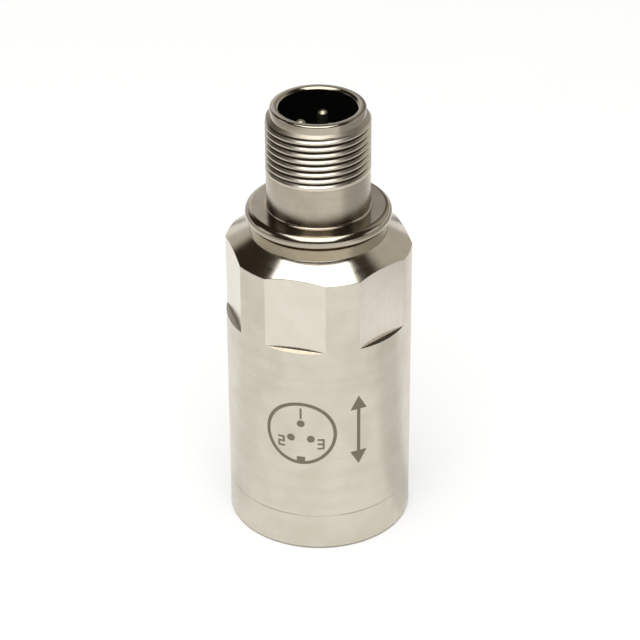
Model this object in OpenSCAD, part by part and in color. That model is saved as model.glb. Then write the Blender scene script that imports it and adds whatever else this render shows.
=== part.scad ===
// Vibration sensor: a welded steel case with six wrench flats, a tapped mounting base
// and a three-pin threaded connector, with its sensing element and boards inside.
// Millimetres, +Z up. The origin is the centre of the mounting face, and one flat faces -Y.

/* [Mounting base] */
// Outside diameter of the base and of the round part of the housing
case_d = 28.6; // [27.6:0.1:36]
// Height of the base from the mounting face to the weld seam
base_h = 6.2; // [5.8:0.1:14]
// Height of the spigot that locates the base in the housing
spigot_h = 3; // [2.6:0.1:4.5]
// Diameter of the tapped stud hole, at the crests of its thread
stud_hole_d = 5.5; // [4:0.1:6.4]
// Depth of the full diameter of the stud hole
stud_hole_depth = 6.4; // [4:0.1:6.6]
// Angle at the point of the drill that made the stud hole
drill_angle = 118; // [90:1:140]
// Chamfer at the mouth of the stud hole
stud_mouth = 0.6; // [0.2:0.1:1.2]
// Chamfer round the mounting face
foot_break = 0.3; // [0.1:0.05:0.8]

/* [Housing] */
// Depth of each of the six wrench flats below the round body
flat_depth = 0.8; // [0.3:0.05:1.2]
// Slope of the ledge at the foot of a flat, from level
flat_slope = 8; // [0:1:30]
// Wall between the bore and a wrench flat
wall_t = 2; // [1.2:0.1:2.6]
// Height of the round body from the weld seam to the foot of the flats
round_h = 29.8; // [27:0.1:45]
// Height of the flats from their foot to the edge of the cone
flat_h = 11.6; // [9:0.1:20]
// Slope of the cone above the flats, from level
cone_angle = 30; // [15:1:45]
// Diameter of the neck that carries the connector
neck_d = 21; // [19:0.1:22.4]
// Height of the neck
neck_h = 2.5; // [1.5:0.1:5]
// Height of the relief groove round the top of the neck
neck_groove_h = 0.7; // [0.3:0.05:1.2]
// Depth of the relief groove
neck_groove_depth = 0.45; // [0.1:0.05:1]
// Depth of the ceiling inside below the edge of the cone
roof_drop = 2.2; // [1:0.1:3]
// Chamfer on each side of a welded seam
seam_break = 0.1; // [0.05:0.05:0.3]
// Radial clearance of a spigot in its bore
spigot_fit = 0.05; // [0.02:0.01:0.15]

/* [Connector shell] */
// Diameter of the flange on the neck
flange_d = 22.3; // [20:0.1:26]
// Thickness of the flange
flange_h = 1.6; // [1.2:0.1:3]
// Rounding of the upper edge of the flange
flange_round = 0.75; // [0.2:0.05:1]
// Outside diameter of the thread
thread_d = 15.88; // [14.6:0.02:18]
// Pitch of the thread
thread_pitch = 1.058; // [0.8:0.002:1.2]
// Depth of the thread on one side
thread_depth = 0.65; // [0.3:0.01:0.75]
// Width of the root of the thread
thread_root_w = 0.18; // [0.1:0.01:0.25]
// Number of grooves in the thread
thread_turns = 7; // [3:1:9]
// Diameter of the plain barrel below the thread
barrel_d = 15.8; // [14.4:0.1:17.8]
// Height of the plain barrel
barrel_h = 6.8; // [4:0.1:12]
// Diameter of the lead-in rim above the thread
rim_d = 14.4; // [13.2:0.1:14.6]
// Height of the lead-in rim
rim_h = 1.4; // [0.8:0.1:3]
// Height of the cone from the thread up to the rim
lead_in_h = 0.95; // [0.6:0.05:2]
// Chamfer on the two edges of the rim
rim_break = 0.25; // [0.1:0.05:0.4]
// Bore of the shell
socket_d = 11.8; // [10.6:0.1:12.2]
// Depth of the socket from the rim to the glass seal
socket_depth = 11; // [8:0.1:13]
// Diameter of the spigot below the flange
shell_spigot_d = 15.5; // [13.6:0.1:17]
// Height of the spigot below the flange
shell_spigot_h = 3; // [1.5:0.1:5]
// Width of the half-round key inside the socket
key_w = 1.6; // [0.8:0.1:2]
// Distance of the top of the key below the rim
key_drop = 1.5; // [0.6:0.1:4]

/* [Contact pins] */
// Thickness of the glass seal that holds the pins
glass_t = 3.5; // [2:0.1:4.5]
// Diameter of a contact pin
pin_d = 1.58; // [1:0.02:2]
// Diameter of the circle that the pins stand on
pin_circle_d = 5.4; // [4.8:0.1:6]
// Distance of a pin tip below the rim
pin_drop = 2.05; // [0.8:0.05:4]
// Radius of the domed tip of a pin
pin_dome_r = 0.95; // [0.9:0.01:1.2]
// Length of a pin below the glass seal
tail_h = 4.5; // [3.4:0.1:5]
// Diameter of the solder cup at the lower end of a pin
cup_d = 2.2; // [2:0.1:2.6]
// Height of the solder cup
cup_h = 3; // [2.2:0.1:3.4]
// Depth of the bore of the solder cup
cup_depth = 2.2; // [1:0.1:2.2]

/* [Sensing element] */
// Radial gap between the shield can and the bore of the housing
shield_gap = 0.8; // [0.5:0.1:1.4]
// Thickness of the shield can
can_t = 0.5; // [0.3:0.05:0.8]
// Gap between the clamp nut and the inside of the shield can
nut_gap = 0.5; // [0.2:0.1:1.2]
// Gap between the foot of the post and the inside of the shield can
foot_gap = 1.2; // [0.5:0.1:1.8]
// Height left free above the post inside the shield can
can_room = 1.5; // [0.8:0.1:2.4]
// Thickness of the insulating disc below the post
disc_t = 0.8; // [0.4:0.1:1.4]
// Distance that the insulating disc stands out beyond the shield can
disc_lip = 0.1; // [0:0.05:0.3]
// Thickness of the foot of the post
foot_t = 1.6; // [1:0.1:2.4]
// Thickness of the post between the crystal plates
post_w = 5; // [4:0.1:6]
// Height of the post above its foot
post_h = 11; // [10.2:0.1:12]
// Width of the post, crystal plates and masses
plate_w = 8; // [6:0.1:9]
// Height of the crystal plates and masses
plate_h = 8; // [6:0.1:8.8]
// Thickness of a crystal plate
plate_t = 1.2; // [0.6:0.1:2]
// Height of the crystal plates above the foot of the post
plate_lift = 1.5; // [0.8:0.1:2.4]
// Chamfer on the outer edges of a mass
mass_break = 0.8; // [0.3:0.1:1.2]

/* [Clamp] */
// Diameter of the clamp bolt
bolt_d = 2.5; // [2:0.1:2.8]
// Diameter of the head of the clamp bolt
bolt_head_d = 4.5; // [3.8:0.1:5.4]
// Height of the head of the clamp bolt
bolt_head_h = 1.6; // [1.2:0.1:1.9]
// Width of the slot in the head
slot_w = 0.6; // [0.4:0.1:1]
// Depth of the slot in the head
slot_depth = 0.8; // [0.4:0.1:1]
// Distance across the flats of the clamp nut
nut_af = 5; // [4.2:0.1:5.6]
// Height of the clamp nut
nut_h = 2; // [1.4:0.1:2.4]
// Wall of the insulating sleeve round the clamp bolt
sleeve_t = 0.4; // [0.2:0.05:0.6]
// Radial clearance of the sleeve in the clamped pieces
sleeve_fit = 0.05; // [0.02:0.01:0.1]
// Thickness of an insulating washer
washer_t = 0.4; // [0.2:0.1:0.8]
// Distance that a washer stands out beyond the bolt head
washer_lip = 0.4; // [0.1:0.1:0.7]

/* [Boards] */
// Radial gap between a board and the bore of the housing
board_gap = 1; // [0.5:0.1:1.2]
// Thickness of a board
board_t = 1.2; // [0.8:0.1:1.6]
// Height of the lower standoffs
lower_gap = 3.5; // [3:0.1:4.4]
// Height left free between the upper board and the ceiling of the housing
lead_room = 8.9; // [7.6:0.1:10.4]
// Diameter of a standoff
standoff_d = 3; // [2.4:0.1:3.4]
// Distance from the middle of a standoff to the edge of its board
standoff_edge = 1.9; // [1.8:0.1:2]
// Diameter of the board screws and of the studs of the upper standoffs
screw_d = 1.6; // [1.2:0.1:1.8]
// Length of a board screw or stud below its board
screw_grip = 1.8; // [1:0.1:2.2]
// Diameter of the head of a board screw
screw_head_d = 3; // [2.4:0.1:3.2]
// Height of the head of a board screw
screw_head_h = 1.1; // [0.8:0.1:1.8]
// Radial clearance of a screw or stud in its board
screw_fit = 0.1; // [0.05:0.05:0.2]

/* [Board components] */
// Gap between a chip and its board
chip_lift = 0.15; // [0.1:0.05:0.3]
// Height of the body of a chip
chip_h = 1.5; // [1:0.1:1.8]
// Width of the body of a chip
chip_w = 3.9; // [3.6:0.1:4.1]
// Pitch of the legs of a chip
leg_pitch = 1.27; // [1:0.01:1.3]
// Width of a leg
leg_w = 0.42; // [0.3:0.02:0.6]
// Thickness of a leg
leg_t = 0.2; // [0.15:0.01:0.3]
// Distance that a leg reaches out of its chip
leg_reach = 1.05; // [0.8:0.05:1.1]
// Length of the body of the amplifier chip
amplifier_l = 4.9; // [4.4:0.1:5.6]
// Length of the body of the loop driver chip
driver_l = 8.65; // [8.4:0.05:9.2]
// Length of the body of the power transistor
transistor_l = 6.5; // [6:0.1:7]
// Width of the body of the power transistor
transistor_w = 3.4; // [3:0.1:3.5]
// Width of the tab of the power transistor
tab_w = 3; // [2:0.1:3.4]
// Length of a capacitor
cap_l = 3.5; // [2.8:0.1:3.7]
// Width of a capacitor
cap_w = 2.6; // [2:0.1:2.8]
// Height of a capacitor
cap_h = 1.9; // [1.2:0.1:2.4]
// Distance from a capacitor to the edge of its board
cap_edge = 1.1; // [0.8:0.1:1.4]
// Gap between a capacitor and the piece beside it
cap_gap = 1; // [0.5:0.1:1.4]
// Pitch of the link pins
link_pitch = 2.54; // [2:0.02:2.6]
// Width of a link pin
link_pin_w = 0.64; // [0.4:0.02:0.8]
// Width of the link block
link_w = 2.5; // [1.8:0.1:2.8]
// Height of the link block
link_h = 2.5; // [1.5:0.1:3]

/* [Leads] */
// Diameter of a lead
lead_d = 1; // [0.6:0.05:1.2]
// Radial clearance of a connector lead in its solder cup
lead_fit = 0.1; // [0.05:0.01:0.2]
// Distance from the axis to the place where a connector lead leaves the upper board
pad_r = 6.6; // [6.5:0.1:6.9]
// Length of the straight stretch at the lower end of a connector lead
lead_straight = 1.5; // [1:0.1:3]
// Diameter of the holes for leads in the top of the shield can
lead_hole_d = 2.2; // [1.6:0.1:3]

/* [Hidden] */
$fn = 96;
over = 1;

// Case
case_r = case_d / 2;
flat_r = case_r - flat_depth;
bore_r = flat_r - wall_t;
spigot_r = bore_r - spigot_fit;
stud_r = stud_hole_d / 2;
drill_tip_h = stud_r / tan(drill_angle / 2);
neck_r = neck_d / 2;
shell_spigot_r = shell_spigot_d / 2;
neck_bore_r = shell_spigot_r + spigot_fit;
cone_h = (case_r - neck_r) * tan(cone_angle);
z_spigot = base_h + spigot_h;
z_flat = base_h + round_h;
z_shoulder = z_flat + flat_h;
z_neck = z_shoulder + cone_h;
z_seat = z_neck + neck_h;
z_ceiling = z_shoulder - roof_drop;

// Connector
thread_r = thread_d / 2;
root_r = thread_r - thread_depth;
barrel_r = barrel_d / 2;
rim_r = rim_d / 2;
socket_r = socket_d / 2;
flange_r = flange_d / 2;
groove_w = thread_root_w + 2 * thread_depth * tan(30);
z_flange = z_seat + flange_h;
z_thread = z_flange + barrel_h;
z_lead_in = z_thread + thread_turns * thread_pitch;
z_rim = z_lead_in + lead_in_h;
z_top = z_rim + rim_h;
z_glass_top = z_top - socket_depth;
z_glass = z_glass_top - glass_t;
z_pin_tip = z_top - pin_drop;
z_pin_tail = z_glass - tail_h;
cup_bore_r = lead_d / 2 + lead_fit;
pin_turns = [90, 210, 330];

// Sensing element
can_r = bore_r - shield_gap;
can_bore_r = can_r - can_t;
disc_r = can_r + disc_lip;
foot_r = can_bore_r - foot_gap;
z_disc = z_spigot;
z_foot = z_disc + disc_t;
z_post = z_foot + foot_t;
z_post_top = z_post + post_h;
z_plate = z_post + plate_lift;
z_plate_top = z_plate + plate_h;
z_bolt = z_plate + plate_h / 2;
z_can_in = z_post_top + can_room;
z_can = z_can_in + can_t;
nut_end = can_bore_r - nut_gap;
washer_end = nut_end - nut_h;
mass_end = washer_end - washer_t;
plate_end = post_w / 2 + plate_t;
mass_mid = (plate_end + mass_end) / 2;
sleeve_r = bolt_d / 2 + sleeve_t;
clamp_hole_r = sleeve_r + sleeve_fit;
washer_r = bolt_head_d / 2 + washer_lip;

// Boards
board_r = bore_r - board_gap;
standoff_ring = board_r - standoff_edge;
standoff_turns = [30, 150, 270];
z_lower = z_can + lower_gap;
z_lower_top = z_lower + board_t;
z_upper_top = z_ceiling - lead_room;
z_upper = z_upper_top - board_t;
cap_y = board_r - cap_edge - cap_w / 2;
filter_x = 1.5 * link_pitch + cap_gap + cap_l / 2;
filter_y = cap_w / 2 + 0.85 * cap_gap;
supply_x = board_r - cap_edge - cap_l / 2;
supply_y = cap_w / 5;
link_y = 1.4 * link_w;
amplifier_y = cap_y - cap_w / 2 - cap_gap - leg_reach - chip_w / 2;
driver_top = pad_r - lead_d / 2;
transistor_top = standoff_ring - screw_head_d / 2;
upper_room = driver_top + transistor_top - chip_w - transistor_w - 4 * leg_reach;
driver_y = driver_top - upper_room / 3 - leg_reach - chip_w / 2;
transistor_y = transistor_top - upper_room / 3 - leg_reach - transistor_w / 2;
amplifier_place = [0, amplifier_y];
driver_place = [0, driver_y];
transistor_place = [0, -transistor_y];
link_place = [0, -link_y];
filter_cap_places = [[-filter_x, -filter_y], [filter_x, -filter_y], [0, cap_y]];
supply_cap_places = [[-supply_x, -supply_y], [supply_x, -supply_y]];

// Leads
lead_end = z_pin_tail + cup_depth;
lead_shift = pad_r - pin_circle_d / 2;
bend_h = z_pin_tail - z_upper_top - 2 * lead_straight;
lead_steps = 14;
lead_sides = 12;

// Turned foot with its spigot and the tapped hole for a mounting stud
module mounting_base() {
  color("silver")
  difference() {
    rotate_extrude()
    polygon([
      [0, 0],
      [case_r - foot_break, 0],
      [case_r, foot_break],
      [case_r, base_h - seam_break],
      [case_r - seam_break, base_h],
      [spigot_r, base_h],
      [spigot_r, z_spigot],
      [0, z_spigot]
    ]);
    rotate_extrude()
    polygon([
      [0, -over],
      [stud_r + stud_mouth + over, -over],
      [stud_r, stud_mouth],
      [stud_r, stud_hole_depth],
      [0, stud_hole_depth + drill_tip_h]
    ]);
  }
}

// Turned case with its cone and neck, and six flats milled into the round body
module housing() {
  color("gainsboro")
  difference() {
    rotate_extrude()
    polygon([
      [bore_r, base_h],
      [case_r - seam_break, base_h],
      [case_r, base_h + seam_break],
      [case_r, z_shoulder],
      [neck_r, z_neck],
      [neck_r, z_seat - neck_groove_h],
      [neck_r - neck_groove_depth, z_seat - neck_groove_h],
      [neck_r - neck_groove_depth, z_seat],
      [neck_bore_r, z_seat],
      [neck_bore_r, z_ceiling],
      [bore_r, z_ceiling]
    ]);
    for (turn = [30 : 60 : 330])
      rotate([0, 0, turn])
      flat_cut();
  }
}

// Room that is milled away at one flat, down to a ledge that falls outwards
module flat_cut() {
  rotate([90, 0, 0])
  linear_extrude(height = 2 * case_d, center = true)
  polygon([
    [flat_r, z_flat],
    [flat_r + case_d, z_flat - case_d * tan(flat_slope)],
    [flat_r + case_d, z_top],
    [flat_r, z_top]
  ]);
}

// Half outline of the flange, rounded at its upper edge
module flange_outline() {
  translate([0, z_seat])
  square([flange_r, flange_h - flange_round]);
  translate([0, z_seat])
  square([flange_r - flange_round, flange_h]);
  translate([flange_r - flange_round, z_flange - flange_round])
  circle(r = flange_round);
}

// Half outline of the barrel, with the thread as a row of V grooves
module barrel_outline() {
  polygon([
    [0, z_flange],
    [barrel_r, z_flange],
    [barrel_r, z_thread],
    for (k = [0 : thread_turns - 1], p = groove_points(z_thread + (k + 0.5) * thread_pitch)) p,
    [thread_r, z_lead_in],
    [rim_r, z_rim],
    [rim_r, z_top - rim_break],
    [rim_r - rim_break, z_top],
    [0, z_top]
  ]);
}

// The four corners of one V groove whose middle is at height z
function groove_points(z) = [
  [thread_r, z - groove_w / 2],
  [root_r, z - thread_root_w / 2],
  [root_r, z + thread_root_w / 2],
  [thread_r, z + groove_w / 2]
];

// Flange, barrel and spigot in one piece, with the keyed socket for a plug
module connector_shell() {
  color("tan")
  union() {
    difference() {
      union() {
        rotate_extrude()
        flange_outline();
        rotate_extrude()
        barrel_outline();
        translate([0, 0, z_seat - shell_spigot_h])
        cylinder(r = shell_spigot_r, h = shell_spigot_h);
      }
      rotate_extrude()
      polygon([
        [0, z_seat - shell_spigot_h - over],
        [socket_r, z_seat - shell_spigot_h - over],
        [socket_r, z_top - rim_break],
        [socket_r + rim_break + over, z_top + over],
        [0, z_top + over]
      ]);
    }
    difference() {
      translate([0, -socket_r, z_glass_top])
      cylinder(d = key_w, h = socket_depth - key_drop, $fn = 48);
      translate([-key_w, -socket_r - key_w - 0.2, z_glass_top - over])
      cube([2 * key_w, key_w, socket_depth + 2 * over]);
    }
  }
}

// Glass disc fused into the shell, with a hole for each pin
module glass_seal() {
  color("darkslategray")
  difference() {
    translate([0, 0, z_glass])
    cylinder(r = socket_r, h = glass_t);
    for (turn = pin_turns)
      rotate([0, 0, turn])
      translate([pin_circle_d / 2, 0, z_glass - over])
      cylinder(d = pin_d, h = glass_t + 2 * over, $fn = 48);
  }
}

// Pin with a domed tip above the seal and a scooped solder cup below it
module contact_pin(turn) {
  rotate([0, 0, turn])
  translate([pin_circle_d / 2, 0, 0])
  difference() {
    rotate_extrude($fn = 48) {
      translate([0, z_pin_tail])
      square([cup_d / 2, cup_h]);
      translate([0, z_pin_tail])
      square([pin_d / 2, z_pin_tip - pin_dome_r - z_pin_tail]);
      intersection() {
        translate([0, z_pin_tip - pin_dome_r])
        square([pin_d / 2, pin_dome_r]);
        translate([0, z_pin_tip - pin_dome_r])
        circle(r = pin_dome_r);
      }
    }
    translate([0, 0, z_pin_tail - over])
    cylinder(r = cup_bore_r, h = cup_depth + over, $fn = 48);
    translate([0, -cup_d, z_pin_tail - over])
    cube([cup_d, 2 * cup_d, over + cup_depth / 2]);
  }
}

module contact_pin_a() {
  color("gold")
  contact_pin(pin_turns[0]);
}

module contact_pin_b() {
  color("gold")
  contact_pin(pin_turns[1]);
}

module contact_pin_c() {
  color("gold")
  contact_pin(pin_turns[2]);
}

// Keeps the sensing element and its shield off the case
module insulating_disc() {
  color("ivory")
  translate([0, 0, z_disc])
  cylinder(r = disc_r, h = disc_t);
}

// Hole along X through the clamped pieces, for the sleeve of the clamp bolt
module clamp_hole() {
  translate([-case_d, 0, z_bolt])
  rotate([0, 90, 0])
  cylinder(r = clamp_hole_r, h = 2 * case_d, $fn = 48);
}

// Round foot and square post in one piece
module sensor_post() {
  color("silver")
  difference() {
    union() {
      translate([0, 0, z_foot])
      cylinder(r = foot_r, h = foot_t);
      translate([-post_w / 2, -plate_w / 2, z_post])
      cube([post_w, plate_w, post_h]);
    }
    clamp_hole();
  }
}

// Crystal plate on one side of the post
module crystal(side) {
  difference() {
    translate([side * (post_w + plate_t) / 2, 0, z_plate + plate_h / 2])
    cube([plate_t, plate_w, plate_h], center = true);
    clamp_hole();
  }
}

module crystal_left() {
  color("khaki")
  crystal(-1);
}

module crystal_right() {
  color("khaki")
  crystal(1);
}

// Seismic mass outside a crystal plate, chamfered on its outer edges
module seismic_mass(side) {
  difference() {
    translate([0, 0, z_plate])
    linear_extrude(height = plate_h)
    polygon([
      [side * plate_end, -plate_w / 2],
      [side * (mass_end - mass_break), -plate_w / 2],
      [side * mass_end, mass_break - plate_w / 2],
      [side * mass_end, plate_w / 2 - mass_break],
      [side * (mass_end - mass_break), plate_w / 2],
      [side * plate_end, plate_w / 2]
    ]);
    clamp_hole();
  }
}

module mass_left() {
  color("dimgray")
  seismic_mass(-1);
}

module mass_right() {
  color("dimgray")
  seismic_mass(1);
}

// Tube of length 2 * reach along X, about the axis of the clamp bolt
module clamp_tube(outer_r, inner_r, start, reach) {
  translate([start, 0, z_bolt])
  rotate([0, 90, 0])
  difference() {
    cylinder(r = outer_r, h = reach, $fn = 48);
    translate([0, 0, -over])
    cylinder(r = inner_r, h = reach + 2 * over, $fn = 48);
  }
}

module insulating_sleeve() {
  color("white")
  clamp_tube(sleeve_r, bolt_d / 2, -mass_end, 2 * mass_end);
}

module insulating_washers() {
  color("white") {
    clamp_tube(washer_r, bolt_d / 2, -washer_end, washer_t);
    clamp_tube(washer_r, bolt_d / 2, mass_end, washer_t);
  }
}

// Slotted bolt through the whole stack, with its head on the +X side
module clamp_bolt() {
  color("lightsteelblue")
  difference() {
    translate([0, 0, z_bolt])
    rotate([0, 90, 0])
    union() {
      translate([0, 0, -nut_end])
      cylinder(d = bolt_d, h = nut_end + washer_end, $fn = 48);
      translate([0, 0, washer_end])
      cylinder(d = bolt_head_d, h = bolt_head_h, $fn = 48);
    }
    translate([washer_end + bolt_head_h - slot_depth, -slot_w / 2, z_bolt - bolt_head_d])
    cube([slot_depth + over, slot_w, 2 * bolt_head_d]);
  }
}

module clamp_nut() {
  color("lightsteelblue")
  translate([-nut_end, 0, z_bolt])
  rotate([0, 90, 0])
  difference() {
    cylinder(d = nut_af / cos(30), h = nut_h, $fn = 6);
    translate([0, 0, -over])
    cylinder(d = bolt_d, h = nut_h + 2 * over, $fn = 48);
  }
}

// Closed can over the sensing element, open below, with two lead holes in its top
module shield_can() {
  color("goldenrod")
  difference() {
    translate([0, 0, z_foot])
    cylinder(r = can_r, h = z_can - z_foot);
    translate([0, 0, z_foot - over])
    cylinder(r = can_bore_r, h = z_can_in - z_foot + over);
    for (x = [0, mass_mid])
      translate([x, 0, z_can_in - over])
      cylinder(d = lead_hole_d, h = can_t + 2 * over, $fn = 48);
  }
}

// Places its children at the three standoffs
module at_standoffs() {
  for (turn = standoff_turns)
    rotate([0, 0, turn])
    translate([standoff_ring, 0, 0])
    children();
}

module lower_standoffs() {
  color("khaki")
  at_standoffs()
  difference() {
    translate([0, 0, z_can])
    cylinder(d = standoff_d, h = lower_gap, $fn = 48);
    translate([0, 0, z_lower - screw_grip])
    cylinder(d = screw_d, h = screw_grip + over, $fn = 48);
  }
}

// Round board with a clearance hole at each standoff
module board(z) {
  difference() {
    translate([0, 0, z])
    cylinder(r = board_r, h = board_t);
    at_standoffs()
    translate([0, 0, z - over])
    cylinder(r = screw_d / 2 + screw_fit, h = board_t + 2 * over, $fn = 48);
  }
}

module lower_board() {
  color("seagreen")
  board(z_lower);
}

module upper_board() {
  color("seagreen")
  board(z_upper);
}

// Bent leg that stands on the board and reaches in +Y out of the side of a chip
module leg(side_y, width) {
  translate([width / 2, side_y, 0])
  rotate([90, 0, -90])
  linear_extrude(height = width)
  mirror([1, 0])
  polygon([
    [-leg_t, chip_lift + chip_h / 2 - leg_t],
    [leg_reach / 2 - leg_t, chip_lift + chip_h / 2 - leg_t],
    [leg_reach / 2 - leg_t, 0],
    [leg_reach, 0],
    [leg_reach, leg_t],
    [leg_reach / 2, leg_t],
    [leg_reach / 2, chip_lift + chip_h / 2],
    [-leg_t, chip_lift + chip_h / 2]
  ]);
}

// Chip body with an equal row of legs on its two long sides
module chip(length, legs) {
  translate([-length / 2, -chip_w / 2, chip_lift])
  cube([length, chip_w, chip_h]);
  for (turn = [0, 180], k = [0 : legs - 1])
    rotate([0, 0, turn])
    translate([(k - (legs - 1) / 2) * leg_pitch, 0, 0])
    leg(chip_w / 2, leg_w);
}

module amplifier_chip() {
  color("black")
  translate([amplifier_place[0], amplifier_place[1], z_lower_top])
  chip(amplifier_l, 4);
}

module driver_chip() {
  color("black")
  translate([driver_place[0], driver_place[1], z_upper_top])
  chip(driver_l, 7);
}

// Transistor with a wide tab on one side and three legs on the other
module power_transistor() {
  color("black")
  translate([transistor_place[0], transistor_place[1], z_upper_top]) {
    translate([-transistor_l / 2, -transistor_w / 2, chip_lift])
    cube([transistor_l, transistor_w, chip_h]);
    leg(transistor_w / 2, tab_w);
    for (k = [-1 : 1])
      rotate([0, 0, 180])
      translate([k * 1.8 * leg_pitch, 0, 0])
      leg(transistor_w / 2, 1.5 * leg_w);
  }
}

// Capacitor block standing on a board at height z
module capacitor(place, z) {
  translate([place[0] - cap_l / 2, place[1] - cap_w / 2, z])
  cube([cap_l, cap_w, cap_h]);
}

module filter_capacitors() {
  color("orange")
  for (place = filter_cap_places)
    capacitor(place, z_lower_top);
}

module supply_capacitors() {
  color("orange")
  for (place = supply_cap_places)
    capacitor(place, z_upper_top);
}

// Places its children at the three link pins
module at_link_pins() {
  for (k = [-1 : 1])
    translate([link_place[0] + k * link_pitch, link_place[1], 0])
    children();
}

module link_block() {
  color("dimgray")
  difference() {
    translate([link_place[0] - 1.5 * link_pitch, link_place[1] - link_w / 2, z_lower_top])
    cube([3 * link_pitch, link_w, link_h]);
    at_link_pins()
    translate([-link_pin_w / 2, -link_pin_w / 2, z_lower_top - over])
    cube([link_pin_w, link_pin_w, link_h + 2 * over]);
  }
}

module link_pins() {
  color("gold")
  at_link_pins()
  translate([-link_pin_w / 2, -link_pin_w / 2, z_lower_top])
  cube([link_pin_w, link_pin_w, z_upper - z_lower_top]);
}

// Standoff with a stud through the lower board and a tapped upper end
module upper_standoffs() {
  color("khaki")
  at_standoffs()
  difference() {
    union() {
      translate([0, 0, z_lower - screw_grip])
      cylinder(d = screw_d, h = screw_grip + board_t + standoff_d / 4, $fn = 48);
      translate([0, 0, z_lower_top])
      cylinder(d = standoff_d, h = z_upper - z_lower_top, $fn = 48);
    }
    translate([0, 0, z_upper - screw_grip])
    cylinder(d = screw_d, h = screw_grip + over, $fn = 48);
  }
}

module board_screws() {
  color("lightsteelblue")
  at_standoffs()
  difference() {
    union() {
      translate([0, 0, z_upper - screw_grip])
      cylinder(d = screw_d, h = screw_grip + board_t + screw_head_h / 2, $fn = 48);
      translate([0, 0, z_upper_top])
      cylinder(d = screw_head_d, h = screw_head_h, $fn = 48);
    }
    translate([-screw_head_d, -slot_w / 2, z_upper_top + screw_head_h / 2])
    cube([2 * screw_head_d, slot_w, screw_head_h]);
  }
}

// Straight lead from height z up to the lower board
module element_lead(x, z) {
  translate([x, 0, z])
  cylinder(d = lead_d, h = z_lower - z, $fn = 48);
}

module signal_lead() {
  color("firebrick")
  element_lead(mass_mid, z_plate_top);
}

module ground_lead() {
  color("black")
  element_lead(0, z_post_top);
}

// Points along the middle of a connector lead, as distance from the axis, height and lean
function lead_path() = concat(
  [[pad_r, z_upper_top, 0]],
  [for (k = [0 : lead_steps]) lead_point(k / lead_steps)],
  [[pin_circle_d / 2, lead_end, 0]]
);

// Point at share t of the bent stretch, where the lead eases from one line to the other
function lead_point(t) = [
  pad_r - lead_shift * (1 - cos(180 * t)) / 2,
  z_upper_top + lead_straight + bend_h * t,
  -atan(lead_shift * PI / 2 * sin(180 * t) / bend_h)
];

// Ring of points square to the lead at one point of its path
function lead_ring(p) = [
  for (k = [0 : lead_sides - 1])
    let (a = 360 * k / lead_sides, out = lead_d / 2 * cos(a))
    [p[0] + out * cos(p[2]), lead_d / 2 * sin(a), p[1] - out * sin(p[2])]
];

// Lead with two bends, from the upper board inwards and up into a solder cup
module connector_lead(turn) {
  rings = lead_steps + 3;
  last = (rings - 1) * lead_sides;
  rotate([0, 0, turn])
  polyhedron(
    points = [for (p = lead_path(), q = lead_ring(p)) q],
    faces = concat(
      [[for (k = [0 : lead_sides - 1]) k]],
      [[for (k = [lead_sides - 1 : -1 : 0]) last + k]],
      [for (i = [0 : rings - 2], k = [0 : lead_sides - 1]) lead_face(i * lead_sides, k)]
    )
  );
}

// Face of a lead between side k of one ring, which starts at point i, and the next ring
function lead_face(i, k) = [
  i + k,
  i + k + lead_sides,
  i + (k + 1) % lead_sides + lead_sides,
  i + (k + 1) % lead_sides
];

module connector_lead_a() {
  color("firebrick")
  connector_lead(pin_turns[0]);
}

module connector_lead_b() {
  color("black")
  connector_lead(pin_turns[1]);
}

module connector_lead_c() {
  color("white")
  connector_lead(pin_turns[2]);
}

mounting_base();
housing();
connector_shell();
glass_seal();
contact_pin_a();
contact_pin_b();
contact_pin_c();
insulating_disc();
sensor_post();
crystal_left();
crystal_right();
mass_left();
mass_right();
insulating_sleeve();
insulating_washers();
clamp_bolt();
clamp_nut();
shield_can();
lower_standoffs();
lower_board();
amplifier_chip();
filter_capacitors();
link_block();
link_pins();
upper_standoffs();
upper_board();
driver_chip();
power_transistor();
supply_capacitors();
board_screws();
signal_lead();
ground_lead();
connector_lead_a();
connector_lead_b();
connector_lead_c();
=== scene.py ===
"""Looks of a vibration sensor: a turned steel case, a threaded three-pin connector and what is inside.

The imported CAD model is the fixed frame. The outer pieces are turned, milled and threaded here in finer
detail, and the pieces inside keep their CAD shape and get their finish. Sizes are in millimetres.
"""

import logging
import math
from dataclasses import dataclass
from enum import Enum
from typing import Callable, Iterable, Mapping, Sequence

import bmesh
import bpy
from mathutils import Matrix, Vector

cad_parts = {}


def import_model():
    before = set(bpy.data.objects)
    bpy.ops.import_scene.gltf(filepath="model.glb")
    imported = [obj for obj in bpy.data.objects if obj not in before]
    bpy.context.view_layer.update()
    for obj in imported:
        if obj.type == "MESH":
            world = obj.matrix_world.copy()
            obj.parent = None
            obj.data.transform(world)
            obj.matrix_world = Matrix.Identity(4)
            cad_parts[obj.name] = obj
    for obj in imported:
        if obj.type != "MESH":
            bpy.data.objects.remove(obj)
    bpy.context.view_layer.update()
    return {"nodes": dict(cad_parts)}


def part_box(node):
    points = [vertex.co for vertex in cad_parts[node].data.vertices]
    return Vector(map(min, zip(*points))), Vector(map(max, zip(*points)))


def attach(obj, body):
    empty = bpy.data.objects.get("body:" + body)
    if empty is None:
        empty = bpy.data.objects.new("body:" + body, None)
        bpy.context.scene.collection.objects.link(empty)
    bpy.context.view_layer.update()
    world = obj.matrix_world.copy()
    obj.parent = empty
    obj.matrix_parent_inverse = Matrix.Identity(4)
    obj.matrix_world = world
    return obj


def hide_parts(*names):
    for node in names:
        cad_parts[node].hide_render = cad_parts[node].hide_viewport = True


LOG = logging.getLogger("vibration_sensor")

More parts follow.
